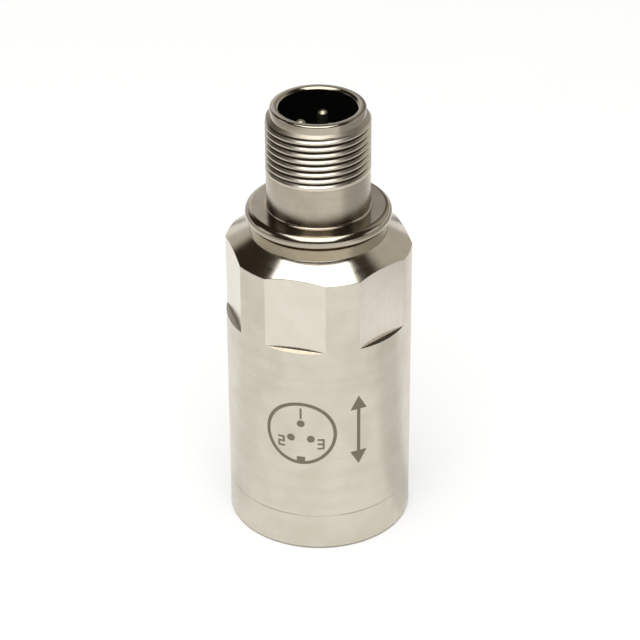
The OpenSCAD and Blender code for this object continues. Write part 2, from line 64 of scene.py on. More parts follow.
MM = 0.001
BODY = "root"
WELD_DISTANCE = 0.0004 * MM
ON_PLANE = 0.001 * MM
SKIN = 0.02
MARK_SKIN = 0.004
SPARE_TURNS = 3
ROUND_STEPS = 3
CRISP_ANGLE = 28.0
MEAN_NOISE = 0.5
LINE_DETAIL = 2.0
FINE_DETAIL = 4.0
SPECK_SPAN = (0.62, 0.8)
RING_SLOPE = 0.83
BAND_RATIO = 0.12
GRAIN_TURN = 0.25
MIX_FIRST, MIX_SECOND, MIX_RESULT = 6, 7, 2
WATTS_PER_RADIANCE = 4.0
VIEW_TURN = math.radians(15.2)
WHITE = (1.0, 1.0, 1.0)
ROOM_DARK = (0.03, 0.023, 0.014)
SHELL_TINT = (0.485, 0.435, 0.355)
SHELL_SHADE = (0.40, 0.345, 0.27)
# Colour of tarnish and of painted shade at the foot of the barrel, next to the flange.
TARNISH_AND_PAINTED_SHADE = (0.09, 0.066, 0.038)
# Colour of old oil on the thread, also used as painted shade in its grooves.
OIL_AND_PAINTED_SHADE = (0.06, 0.05, 0.034)

Colour = tuple[float, float, float]
Factors = tuple[float, float, float]
Span = tuple[float, float]
Spot = tuple[float, float]
Sockets = Mapping[str | int, object]


class Slot(Enum):
    """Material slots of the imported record."""

    CASE_STEEL = "case_steel"
    SHELL_STEEL = "shell_steel"


class ThreadSide(Enum):
    """Which side of a wall a thread is cut into."""

    OUTSIDE = "outside"
    INSIDE = "inside"


class Rounding(Enum):
    """What a bevel rounds, in Blender's words."""

    CORNERS = "VERTICES"
    EDGES = "EDGES"


class Course(Enum):
    """What noise or an edge follows: the whole place, or one value of it."""

    PLACE = "place"
    HEIGHT = "height"
    RADIUS = "radius"
    RINGS = "height and radius, as on a lathe"
    ROWS = "distance from the middle between two rows of legs"
    BLOCKS = "distance from the middle of the nearest of three blocks"


class DigitBar(Enum):
    """Bars of a plain number: place across and along it, from -1 to 1, and how many halves of it stand up."""

    TOP = (0.0, 1.0, 0)
    MIDDLE = (0.0, 0.0, 0)
    BOTTOM = (0.0, -1.0, 0)
    UPPER_RIGHT = (1.0, 0.5, 1)
    LOWER_RIGHT = (1.0, -0.5, 1)
    LOWER_LEFT = (-1.0, -0.5, 1)
    STEM = (0.0, 0.0, 2)


PIN_NUMBERS = (
    (DigitBar.STEM,),
    (DigitBar.TOP, DigitBar.UPPER_RIGHT, DigitBar.MIDDLE, DigitBar.LOWER_LEFT, DigitBar.BOTTOM),
    (DigitBar.TOP, DigitBar.UPPER_RIGHT, DigitBar.MIDDLE, DigitBar.LOWER_RIGHT, DigitBar.BOTTOM),
)


class Wire:
    """A shader socket on which Python's operators add Math nodes."""

    def __init__(self, graph: "Graph", socket: bpy.types.NodeSocket | None) -> None:
        """Keep the socket, which a closing node lacks, and the graph that it belongs to."""
        self.graph = graph
        self.socket = socket

    def math(self, operation: str, *terms: "Wire | float") -> "Wire":
        """Add one Math node of these terms."""
        return self.graph.node("ShaderNodeMath", {"operation": operation}, dict(enumerate(terms)))

    def __add__(self, other: "Wire | float") -> "Wire":
        """Add a term."""
        return self.math("ADD", self, other)

    def __radd__(self, other: float) -> "Wire":
        """Add this socket to a number."""
        return self.math("ADD", other, self)

    def __sub__(self, other: "Wire | float") -> "Wire":
        """Take a term away."""
        return self.math("SUBTRACT", self, other)

    def __rsub__(self, other: float) -> "Wire":
        """Take this socket away from a number."""
        return self.math("SUBTRACT", other, self)

    def __mul__(self, other: "Wire | float") -> "Wire":
        """Multiply by a term."""
        return self.math("MULTIPLY", self, other)

    def __rmul__(self, other: float) -> "Wire":
        """Multiply a number by this socket."""
        return self.math("MULTIPLY", other, self)

    def __truediv__(self, other: "Wire | float") -> "Wire":
        """Divide by a term."""
        return self.math("DIVIDE", self, other)

    def __rtruediv__(self, other: float) -> "Wire":
        """Divide a number by this socket."""
        return self.math("DIVIDE", other, self)

    def __abs__(self) -> "Wire":
        """Drop the sign."""
        return self.math("ABSOLUTE", self)

    def root(self) -> "Wire":
        """Take the square root."""
        return self.math("SQRT", self)

    def least(self, other: "Wire | float") -> "Wire":
        """Take the smaller of two terms."""
        return self.math("MINIMUM", self, other)

    def most(self, other: "Wire | float") -> "Wire":
        """Take the larger of two terms."""
        return self.math("MAXIMUM", self, other)

    def swing(self, amount: float) -> "Wire":
        """Turn a noise into a swing of this amount about 0."""
        return (self - MEAN_NOISE) * amount

    def rise(self, span: Span) -> "Wire":
        """Ease from 0 at the start of a span to 1 at its end."""
        sockets = {"Value": self, "From Min": span[0], "From Max": span[1]}
        return self.graph.node("ShaderNodeMapRange", {"interpolation_type": "SMOOTHSTEP"}, sockets)

    def fall(self, span: Span) -> "Wire":
        """Ease from 1 at the start of a span to 0 at its end."""
        return 1 - self.rise(span)


class Graph:
    """The shader nodes of one material or world."""

    def __init__(self, owner: bpy.types.Material | bpy.types.World) -> None:
        """Start the owner's node tree empty."""
        owner.use_nodes = True
        self.tree = owner.node_tree
        self.tree.nodes.clear()

    def node(
        self,
        kind: str,
        settings: Mapping[str, object] | None = None,
        sockets: Sockets | None = None,
        output: str | int = 0,
    ) -> Wire:
        """Add one node.

        Args:
            kind: Blender's type name of the node.
            settings: the node's own settings.
            sockets: value or Wire of each input, by name or number.
            output: the output to hand back.

        Returns:
            That output as a Wire.
        """
        node = self.tree.nodes.new(kind)
        for key, value in (settings or {}).items():
            setattr(node, key, value)
        for key, value in (sockets or {}).items():
            if isinstance(value, Wire):
                self.tree.links.new(value.socket, node.inputs[key])
            else:
                node.inputs[key].default_value = value
        return Wire(self, node.outputs[output] if node.outputs else None)

    def split(self, vector: Wire) -> list[Wire]:
        """Separate a vector into its three values."""
        first = self.node("ShaderNodeSeparateXYZ", sockets={0: vector})
        return [Wire(self, socket) for socket in first.socket.node.outputs]

    def follow(self, place: Wire, course: Course, middle: float = 0.0) -> Wire:
        """Work out the value of a place that a course follows.

        Args:
            place: place on the piece.
            course: the course, other than the whole place.
            middle: where rows or outer blocks have their middle.

        Returns:
            The value in millimetres.
        """
        x, y, z = self.split(place)
        if course is Course.HEIGHT:
            return z
        if course is Course.ROWS:
            return abs(y - middle)
        if course is Course.BLOCKS:
            return abs(x).least(abs(abs(x) - middle))
        radius = (x * x + y * y).root()
        return radius if course is Course.RADIUS else z + RING_SLOPE * radius

    def place(self) -> Wire:
        """Object coordinates in millimetres."""
        metres = self.node("ShaderNodeTexCoord", output="Object")
        return self.node("ShaderNodeVectorMath", {"operation": "SCALE"}, {0: metres, "Scale": 1 / MM})

    def stretch(self, vector: Wire, factors: Factors) -> Wire:
        """Scale a vector along each axis."""
        return self.node("ShaderNodeVectorMath", {"operation": "MULTIPLY"}, {0: vector, 1: factors})

    def blend(self, first: Wire | Colour, second: Wire | Colour, share: Wire | float) -> Wire:
        """Mix two colours.

        Args:
            first: colour at share 0.
            second: colour at share 1.
            share: how much of the second colour to take.

        Returns:
            The mixed colour.
        """
        pair = [c if isinstance(c, Wire) else (*c, 1.0) for c in (first, second)]
        sockets = {"Factor": share, MIX_FIRST: pair[0], MIX_SECOND: pair[1]}
        return self.node("ShaderNodeMix", {"data_type": "RGBA"}, sockets, MIX_RESULT)

    def bump(self, height: Wire, strength: float, depth: float) -> Wire:
        """Normal of a surface raised by a height of 0 to 1, at a depth in millimetres."""
        sockets = {"Strength": strength, "Distance": depth * MM, "Height": height}
        return self.node("ShaderNodeBump", None, sockets)

    def surface(self, sockets: Sockets) -> None:
        """Close the material with one Principled surface."""
        shader = self.node("ShaderNodeBsdfPrincipled", None, sockets)
        self.node("ShaderNodeOutputMaterial", None, {"Surface": shader})


@dataclass(frozen=True)
class Layer:
    """A layer of noise, and how much it shades, roughens and raises a surface.

    Its shade may ease in over a span of the noise.
    """

    scale: float
    detail: float = 3.0
    course: Course = Course.PLACE
    stretch: Factors = (1.0, 1.0, 1.0)
    span: Span | None = None
    shade: float = 0.0
    rough: float = 0.0
    height: float = 0.0

    def noise(self, graph: Graph, place: Wire) -> Wire:
        """Make clouds over the whole place, or lines across the value that the course follows.

        Args:
            graph: nodes of the material.
            place: place on the piece.

        Returns:
            A value about 0.5.
        """
        sockets = {"Scale": self.scale, "Detail": self.detail}
        if self.course is Course.PLACE:
            sockets["Vector"] = graph.stretch(place, self.stretch)
            return graph.node("ShaderNodeTexNoise", None, sockets)
        sockets["W"] = graph.follow(place, self.course)
        return graph.node("ShaderNodeTexNoise", {"noise_dimensions": "1D"}, sockets)


@dataclass(frozen=True)
class TrackLayer(Layer):
    """Copper tracks along the edges of irregular cells."""

    random: float = 0.45
    width: Span = (0.05, 0.09)

    def noise(self, graph: Graph, place: Wire) -> Wire:
        """Draw the tracks.

        Args:
            graph: nodes of the material.
            place: place on the board.

        Returns:
            1 on a track and 0 beside it.
        """
        flat = graph.stretch(place, (1.0, 1.0, 0.0))
        sockets = {"Vector": flat, "Scale": self.scale, "Randomness": self.random}
        return graph.node("ShaderNodeTexVoronoi", {"feature": "DISTANCE_TO_EDGE"}, sockets).fall(self.width)


@dataclass(frozen=True)
class Cover:
    """A colour over part of a finish: beyond an edge, or short of it where the span runs down.

    The height of a ragged layer moves the edge to and fro.
    """

    colour: Colour
    course: Course
    span: Span
    middle: float = 0.0
    share: float = 1.0
    metal: float | None = None
    rough: float = 0.0
    ragged: Layer | None = None

    def mask(self, graph: Graph, place: Wire) -> Wire:
        """Work out how much of the cover lies at a place.

        Args:
            graph: nodes of the material.
            place: place on the piece.

        Returns:
            0 where the finish is bare, up to the cover's share.
        """
        value = graph.follow(place, self.course, self.middle)
        if self.ragged:
            value = value + self.ragged.noise(graph, place).swing(self.ragged.height)
        start, end = self.span
        eased = value.rise(self.span) if start < end else value.fall((end, start))
        return eased * self.share


@dataclass(frozen=True)
class Finish:
    """A tint that layers of noise shade, roughen and raise, at times with a cover over part of it."""

    name: str
    tint: Colour
    shade: Colour
    rough: float
    layers: tuple[Layer, ...] = ()
    start: float = 0.0
    metal: float = 0.0
    gloss: float = 0.5
    anisotropy: float = 0.0
    strength: float = 0.3
    depth: float = 0.01
    cover: Cover | None = None

    def material(self) -> bpy.types.Material:
        """Make the material.

        Returns:
            A material whose surface has this finish.
        """
        material = bpy.data.materials.new(self.name)
        graph = Graph(material)
        place = graph.place()
        share, rough, height, metal = self.start, self.rough, 0.0, self.metal
        for layer in self.layers:
            noise = layer.noise(graph, place)
            if layer.shade:
                share = share + (noise.rise(layer.span) if layer.span else noise) * layer.shade
            if layer.rough:
                rough = rough + noise.swing(layer.rough)
            if layer.height:
                height = height + noise * layer.height
        colour = graph.blend(self.tint, self.shade, share)
        if self.cover:
            mask = self.cover.mask(graph, place)
            colour = graph.blend(colour, self.cover.colour, mask)
            rough = rough + mask * self.cover.rough
            metal = metal if self.cover.metal is None else mask * self.cover.metal
        graph.surface({
            "Base Color": colour,
            "Metallic": metal,
            "Roughness": rough,
            "Specular IOR Level": self.gloss,
            "Anisotropic": self.anisotropy,
            "Anisotropic Rotation": GRAIN_TURN,
            "Normal": graph.bump(height, self.strength, self.depth),
        })
        return material


def lathe_layers(ring_scale: float) -> tuple[Layer, ...]:
    """Lay out turned metal.

    Args:
        ring_scale: how fine the rings are.

    Returns:
        Fine rings, broad bands, patches and specks.
    """
    return (
        Layer(ring_scale, LINE_DETAIL, Course.RINGS, rough=0.10, height=1.0),
        Layer(BAND_RATIO * ring_scale, LINE_DETAIL, Course.RINGS, span=(0.3, 0.75), shade=0.25),
        Layer(0.22, span=(0.35, 0.7), shade=0.55, rough=0.12),
        Layer(3.2, 5.0, span=SPECK_SPAN, shade=0.3),
    )


def cutter_layers(stretch: Factors) -> tuple[Layer, ...]:
    """Cutter lines, drawn out by a stretch along each axis, over faint patches."""
    lines = Layer(1.0, FINE_DETAIL, stretch=stretch, shade=0.3, rough=0.14, height=1.0)
    return lines, Layer(0.3, span=(0.35, 0.75), shade=0.6, rough=0.08)


def grain_layers(scale: float) -> tuple[Layer, ...]:
    """Grain of a fired solid, at a scale, under faint clouds."""
    grain = Layer(scale, 5.0, shade=0.5, rough=0.2, height=1.0)
    return grain, Layer(0.35, span=(0.4, 0.7), shade=0.4)


def weave_layer(stretch: Factors) -> Layer:
    """Glass threads of a board, drawn out by a stretch along each axis."""
    return Layer(1.0, stretch=stretch, shade=0.3, rough=0.15, height=0.15)


@dataclass(frozen=True)
class TurnedMetal(Finish):
    """Metal with the fine rings that a lathe leaves, and patches and specks of wear."""

    layers: tuple[Layer, ...] = lathe_layers(5.0)
    metal: float = 1.0
    strength: float = 0.35
    depth: float = 0.004


@dataclass(frozen=True)
class ThreadMetal(Finish):
    """Metal of a cut thread, with specks, and torn along its turns."""

    layers: tuple[Layer, ...] = (
        Layer(5.0, FINE_DETAIL, span=SPECK_SPAN, shade=0.3, rough=0.10),
        Layer(11.0, LINE_DETAIL, Course.HEIGHT, height=1.0),
    )
    metal: float = 1.0
    strength: float = 0.25
    depth: float = 0.003


@dataclass(frozen=True)
class MilledMetal(Finish):
    """Metal with the straight fine lines of a cutter, along one axis."""

    layers: tuple[Layer, ...] = cutter_layers((6.0, 6.0, 0.35))
    metal: float = 1.0
    depth: float = 0.003


@dataclass(frozen=True)
class EtchedMetal(Finish):
    """Matt grey left by a marking laser, in fine lines with specks."""

    layers: tuple[Layer, ...] = (
        Layer(14.0, 0.0, Course.HEIGHT, shade=0.5, height=1.0),
        Layer(6.0, FINE_DETAIL, shade=0.5, rough=0.15),
    )
    metal: float = 0.75
    depth: float = 0.004


@dataclass(frozen=True)
class SealGlass(Finish):
    """Near-black fused glass with a slight ripple and small bubbles."""

    rough: float = 0.12
    layers: tuple[Layer, ...] = (
        Layer(0.7, shade=0.6, rough=0.08, height=1.0),
        Layer(4.0, 1.0, span=(0.66, 0.74), shade=0.4),
    )
    strength: float = 0.25
    depth: float = 0.03


@dataclass(frozen=True)
class Ceramic(Finish):
    """Fired ceramic, or another dull solid, with a fine grain under faint clouds."""

    layers: tuple[Layer, ...] = grain_layers(5.0)


@dataclass(frozen=True)
class BoardLaminate(Finish):
    """Circuit board: copper tracks raised under the mask, over a glass weave that runs both ways."""

    rough: float = 0.32
    layers: tuple[Layer, ...] = (
        TrackLayer(0.55, shade=0.8, height=1.0),
        weave_layer((14.0, 2.0, 1.0)),
        weave_layer((2.0, 14.0, 1.0)),
    )
    start: float = -0.3
    strength: float = 0.5
    depth: float = 0.03


@dataclass(frozen=True)
class ChipResin(Finish):
    """Black moulded resin with a dusty grain."""

    tint: Colour = (0.018, 0.018, 0.02)
    shade: Colour = (0.05, 0.05, 0.05)
    rough: float = 0.55
    layers: tuple[Layer, ...] = (Layer(9.0, FINE_DETAIL, shade=1.0, rough=0.25, height=1.0),)


@dataclass(frozen=True)
class CapacitorBody(Finish):
    """Tan ceramic with a fine grain."""

    tint: Colour = (0.46, 0.31, 0.16)
    shade: Colour = (0.38, 0.24, 0.12)
    rough: float = 0.45
    layers: tuple[Layer, ...] = (Layer(4.0, FINE_DETAIL, shade=1.0, rough=0.2, height=1.0),)
    strength: float = 0.25


@dataclass(frozen=True)
class LeadJacket(Finish):
    """Soft satin plastic, lightly mottled, round a lead."""

    rough: float = 0.42
    layers: tuple[Layer, ...] = (
        Layer(1.6, span=(0.3, 0.7), shade=1.0),
        Layer(12.0, 2.0, rough=0.2, height=1.0),
    )
    strength: float = 0.2


@dataclass(frozen=True)
class ShellMetal(TurnedMetal):
    """Turned metal of the connector shell, with finer and shallower rings than the case."""

    layers: tuple[Layer, ...] = lathe_layers(8.0)
    depth: float = 0.002


@dataclass(frozen=True)
class Finishes:
    """The finishes of the pieces that are made here."""

    case: Finish = TurnedMetal("case_steel", (0.67, 0.63, 0.54), (0.60, 0.555, 0.455), 0.30, anisotropy=0.7)
    cone: Finish = TurnedMetal("cone_steel", (0.70, 0.65, 0.56), (0.62, 0.565, 0.47), 0.16, anisotropy=0.5)
    flats: Finish = MilledMetal("milled_flats", (0.73, 0.675, 0.59), (0.67, 0.615, 0.525), 0.20)
    neck: Finish = TurnedMetal("neck_steel", (0.45, 0.39, 0.285), (0.35, 0.29, 0.20), 0.22, anisotropy=0.4)
    shell: Finish = ShellMetal("connector_steel", SHELL_TINT, SHELL_SHADE, 0.165, anisotropy=0.6)
    barrel: Finish = ShellMetal(
        "barrel_steel",
        SHELL_TINT,
        SHELL_SHADE,
        0.26,
        anisotropy=0.65,
        # The cover darkens the barrel towards the flange: partly tarnish, partly painted shade and dark
        # reflection of the flange.
        cover=Cover(TARNISH_AND_PAINTED_SHADE, Course.HEIGHT, (56.8, 53.4), share=0.75, ragged=Layer(3.2, 5.0, height=1.2)),
    )
    thread: Finish = ThreadMetal(
        "thread_steel",
        (0.68, 0.62, 0.52),
        OIL_AND_PAINTED_SHADE,
        0.30,
        # The cover darkens the thread below its crest: partly old oil, partly painted shade in the grooves.
        cover=Cover(OIL_AND_PAINTED_SHADE, Course.RADIUS, (7.70, 7.56), rough=0.25, ragged=Layer(0.5, height=0.10)),
    )
    lead_in: Finish = ShellMetal("lead_in_steel", (0.45, 0.405, 0.33), (0.385, 0.335, 0.265), 0.40)
    # Painted shade: a near-black dull finish on the socket's inner wall stands in for the shade deep inside
    # the socket.
    socket: Finish = Ceramic("socket_painted_shade", (0.002, 0.002, 0.002), (0.004, 0.004, 0.003), 0.5, gloss=0.03)
    etch: Finish = EtchedMetal("etched_marks", (0.27, 0.235, 0.175), (0.20, 0.17, 0.125), 0.6)


def facing(turn: float) -> Vector:
    """Level direction at an angle about Z."""
    return Vector((math.cos(turn), math.sin(turn), 0.0))


def up(height: float) -> Vector:
    """Place on the Z axis at a height in millimetres."""
    return Vector((0.0, 0.0, height * MM))


def everything(bm: bmesh.types.BMesh) -> list[bmesh.types.BMVert | bmesh.types.BMEdge | bmesh.types.BMFace]:
    """All points, edges and faces of a mesh."""
    return [*bm.verts, *bm.edges, *bm.faces]


def soften(
    bm: bmesh.types.BMesh,
    places: Sequence[bmesh.types.BMVert | bmesh.types.BMEdge],
    size: float,
    steps: int,
    rounding: Rounding,
) -> None:
    """Round corners or edges.

    Args:
        bm: the mesh.
        places: the corners or edges.
        size: width of the rounding.
        steps: number of its steps.
        rounding: what the places are.
    """
    bmesh.ops.bevel(
        bm,
        geom=places,
        offset=size * MM,
        offset_type="OFFSET",
        segments=steps,
        profile=0.5,
        affect=rounding.value,
        clamp_overlap=rounding is Rounding.EDGES,
        material=-1,
    )


def add_object(bm: bmesh.types.BMesh, name: str, materials: Sequence[bpy.types.Material]) -> bpy.types.Object:
    """Make an object of a bmesh.

    Args:
        bm: the mesh, which is freed.
        name: name of the object.
        materials: its materials.

    Returns:
        The object, in the scene.
    """
    mesh = bpy.data.meshes.new(name)
    bm.to_mesh(mesh)
    bm.free()
    for material in materials:
        mesh.materials.append(material)
    added = bpy.data.objects.new(name, mesh)
    bpy.context.scene.collection.objects.link(added)
    LOG.info("%s: %d faces", name, len(mesh.polygons))
    return added


def add_piece(bm: bmesh.types.BMesh, name: str, materials: Sequence[bpy.types.Material]) -> bpy.types.Object:
    """Make a smooth-shaded object of a bmesh, riding on the sensor.

    Args:
        bm: the mesh, which is freed.
        name: name of the piece.
        materials: its materials.

    Returns:
        The piece.
    """
    piece = add_object(bm, name, materials)
    piece.data.shade_smooth()
    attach(piece, BODY)
    return piece


@dataclass(frozen=True)
class Corner:
    """One corner of a turned outline, with the length of the edges that its rounding takes up."""

    radius: float
    height: float
    soft: float = 0.0
    steps: int = 2


@dataclass(frozen=True)
class Helix:
    """A screw thread from one height to another."""

    crest: float
    root: float
    pitch: float
    root_width: float
    low: float
    high: float
    runout: float
    side: ThreadSide
    crest_round: float = 0.03
    flank_angle: float = 30.0
    root_round: float = 0.05

    def profile(self) -> list[Corner]:
        """Outline of one pitch.

        Returns:
            The corners, from the middle of one crest to the middle of the next.
        """
        flank = abs(self.crest - self.root) * math.tan(math.radians(self.flank_angle))
        foot = (self.pitch - self.root_width) / 2
        return [
            Corner(self.crest, 0.0),
            Corner(self.crest, foot - flank, self.crest_round, ROUND_STEPS),
            Corner(self.root, foot, self.root_round),
            Corner(self.root, foot + self.root_width, self.root_round),
            Corner(self.crest, foot + self.root_width + flank, self.crest_round, ROUND_STEPS),
            Corner(self.crest, self.pitch),
        ]

    def depth_share(self, height: float) -> float:
        """Share of the full depth at a height, which runs out to nothing at one end.

        Args:
            height: height of the point.

        Returns:
            1 along the thread, easing to 0 at its lower end outside or its upper end inside.
        """
        end = height - self.low if self.side is ThreadSide.OUTSIDE else self.high - height
        t = min(max(end / self.runout, 0.0), 1.0)
        return t * t * (3 - 2 * t)


class Lathe:
    """A bmesh in which one piece is turned about the Z axis."""

    def __init__(self, steps: int) -> None:
        """Start with an empty mesh that a full turn divides into so many steps."""
        self.bm = bmesh.new()
        self.steps = steps

    def draw(self, corners: Sequence[Corner], closed: bool = False) -> list[bmesh.types.BMEdge]:
        """Draw an outline at Y = 0 and round its corners.

        Args:
            corners: the outline in order.
            closed: whether the last corner joins the first.

        Returns:
            The edges of the outline.
        """
        points = [self.bm.verts.new((c.radius * MM, 0.0, c.height * MM)) for c in corners]
        pairs = list(zip(points, points[1:]))
        if closed:
            pairs.append((points[-1], points[0]))
        for pair in pairs:
            self.bm.edges.new(pair)
        for point, corner in zip(points, corners):
            if corner.soft:
                soften(self.bm, [point], corner.soft, corner.steps, Rounding.CORNERS)
        return [edge for edge in self.bm.edges if edge.is_wire]

    def spin(self, edges: Sequence[bmesh.types.BMEdge], climb: float, merge: bool) -> None:
        """Spin an outline once about Z.

        Args:
            edges: the outline.
            climb: how far it rises over the turn.
            merge: whether its end joins its start.
        """
        points = list({vert for edge in edges for vert in edge.verts})
        bmesh.ops.spin(
            self.bm,
            geom=[*points, *edges],
            cent=(0.0, 0.0, 0.0),
            axis=(0.0, 0.0, 1.0),
            dvec=up(climb / self.steps),
            angle=math.tau,
            steps=self.steps,
            use_merge=merge,
        )

    def turn(self, corners: Sequence[Corner], closed: bool = False) -> None:
        """Turn an outline, closed or open, into a round wall."""
        self.spin(self.draw(corners, closed), 0.0, True)
        self.weld()

    def weld(self) -> None:
        """Merge the points that meet."""
        bmesh.ops.remove_doubles(self.bm, verts=self.bm.verts, dist=WELD_DISTANCE)

    def slice(self, height: float, clear_above: bool = False, clear_below: bool = False) -> None:
        """Cut the whole mesh at a height.

        Args:
            height: height of the cut.
            clear_above: whether what is above it goes.
            clear_below: whether what is below it goes.
        """
        bmesh.ops.bisect_plane(
            self.bm,
            geom=everything(self.bm),
            dist=WELD_DISTANCE,
            plane_co=up(height),
            plane_no=(0.0, 0.0, 1.0),
            clear_outer=clear_above,
            clear_inner=clear_below,
        )

    def cut_thread(self, helix: Helix, bound: Callable[[float], float], extra_cuts: Iterable[float]) -> None:
        """Make a screw thread in a mesh that is still empty.

        Args:
            helix: sizes of the thread.
            bound: radius that the thread stays inside or outside of, at a height.
            extra_cuts: heights that get a ring of points of their own.
        """
        turns = math.ceil((helix.high - helix.low) / helix.pitch) + SPARE_TURNS
        edges = self.draw(helix.profile())
        start = up(helix.low - SPARE_TURNS / 2 * helix.pitch)
        bmesh.ops.translate(self.bm, verts=self.bm.verts, vec=start)
        self.spin(edges, helix.pitch, False)
        first_turn = everything(self.bm)
        for number in range(1, turns):
            copied = bmesh.ops.duplicate(self.bm, geom=first_turn)["geom"]
            moved = [item for item in copied if isinstance(item, bmesh.types.BMVert)]
            bmesh.ops.translate(self.bm, verts=moved, vec=up(number * helix.pitch))
        self.weld()
        self.slice(helix.low, clear_below=True)
        self.slice(helix.high, clear_above=True)
        for height in extra_cuts:
            self.slice(height)
        pick = min if helix.side is ThreadSide.OUTSIDE else max
        for vert in self.bm.verts:
            height = vert.co.z / MM
            radius = math.hypot(vert.co.x, vert.co.y) / MM
            shaped = helix.crest + (radius - helix.crest) * helix.depth_share(height)
            share = pick(shaped, bound(height)) / radius
            vert.co.x *= share
            vert.co.y *= share

    def paint(self, number: int, chosen: Callable[[float, float], bool]) -> None:
        """Give chosen faces another of the piece's materials.

        Args:
            number: number of the material.
            chosen: says whether a face whose middle has this radius and height is one of them.
        """
        for face in self.bm.faces:
            middle = face.calc_center_median() / MM
            if chosen(middle.xy.length, middle.z):
                face.material_index = number

    def rim_edges(self, height: float) -> list[bmesh.types.BMEdge]:
        """Open edges that lie at one height."""
        level = height * MM
        return [
            edge
            for edge in self.bm.edges
            if edge.is_boundary and all(abs(vert.co.z - level) < ON_PLANE for vert in edge.verts)
        ]

    def bridge(self, first: float, second: float) -> None:
        """Join the open rim at one height to the open rim at another."""
        bmesh.ops.bridge_loops(self.bm, edges=[*self.rim_edges(first), *self.rim_edges(second)])

    def finish(self, name: str, node: str, slot: Slot, finishes: Sequence[Finish]) -> bpy.types.Object:
        """Turn the mesh into a piece that stands for a CAD node.

        Args:
            name: name of the piece.
            node: the CAD node that it stands for.
            slot: material slot of the record; not used.
            finishes: its finishes in the order of the faces' numbers.

        Returns:
            The piece.
        """
        self.weld()
        bmesh.ops.recalc_face_normals(self.bm, faces=self.bm.faces)
        piece = add_piece(self.bm, name, [finish.material() for finish in finishes])
        piece.data.set_sharp_from_angle(angle=math.radians(CRISP_ANGLE))
        weighted = piece.modifiers.new("even_shading", "WEIGHTED_NORMAL")
        weighted.keep_sharp = True
        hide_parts(node)
        return piece


@dataclass
class MountingBase:
    """Turned foot with its spigot and the tapped hole for a mounting stud."""

    case_radius: float
    seam: float
    top: float
    spigot_radius: float = 11.45
    spigot_round: float = 0.2
    seam_break: float = 0.04
    foot_break: float = 0.3
    foot_round: float = 0.05
    wall_round: float = 0.08
    stud_crest: float = 2.75
    stud_root: float = 3.175
    stud_pitch: float = 0.907
    stud_root_width: float = 0.11
    runout_turns: float = 1.2
    stud_mouth: float = 0.6
    mouth_gap: float = 0.03
    mouth_cuts: tuple[float, ...] = (0.15, 0.25, 0.35, 0.45, 0.55)
    hole_depth: float = 6.4
    plain_end: float = 0.2
    tap_short: float = 0.3
    drill_angle: float = 118.0
    steps: int = 168

    def mouth(self, height: float) -> float:
        """Radius of the chamfer at the mouth of the hole, at a height."""
        return self.stud_crest + self.stud_mouth - height

    def build(self, finishes: Finishes) -> bpy.types.Object:
        """Turn the base and tap its hole.

        Args:
            finishes: finishes of the sensor.

        Returns:
            The piece.
        """
        lathe = Lathe(self.steps)
        tap_end = self.hole_depth - self.tap_short
        plain_start = self.hole_depth - self.plain_end
        helix = Helix(
            self.stud_crest,
            self.stud_root,
            self.stud_pitch,
            self.stud_root_width,
            self.mouth_gap,
            tap_end,
            self.runout_turns * self.stud_pitch,
            ThreadSide.INSIDE,
        )
        lathe.cut_thread(helix, self.mouth, self.mouth_cuts)
        tip = self.hole_depth + self.stud_crest / math.tan(math.radians(self.drill_angle / 2))
        lathe.turn([
            Corner(self.stud_crest, plain_start),
            Corner(self.stud_crest, self.hole_depth),
            Corner(0.0, tip),
        ])
        radius = self.case_radius
        lathe.turn([
            Corner(self.mouth(0.0) + self.mouth_gap, 0.0),
            Corner(radius - self.foot_break, 0.0, self.foot_round),
            Corner(radius, self.foot_break, self.wall_round, ROUND_STEPS),
            Corner(radius, self.seam - self.seam_break, self.seam_break),
            Corner(radius - self.seam_break, self.seam),
            Corner(self.spigot_radius, self.seam),
            Corner(self.spigot_radius, self.top, self.spigot_round),
            Corner(0.0, self.top),
        ])
        lathe.bridge(tap_end, plain_start)
        lathe.bridge(0.0, self.mouth_gap)
        return lathe.finish("turned_base", "mounting_base", Slot.CASE_STEEL, [finishes.case])


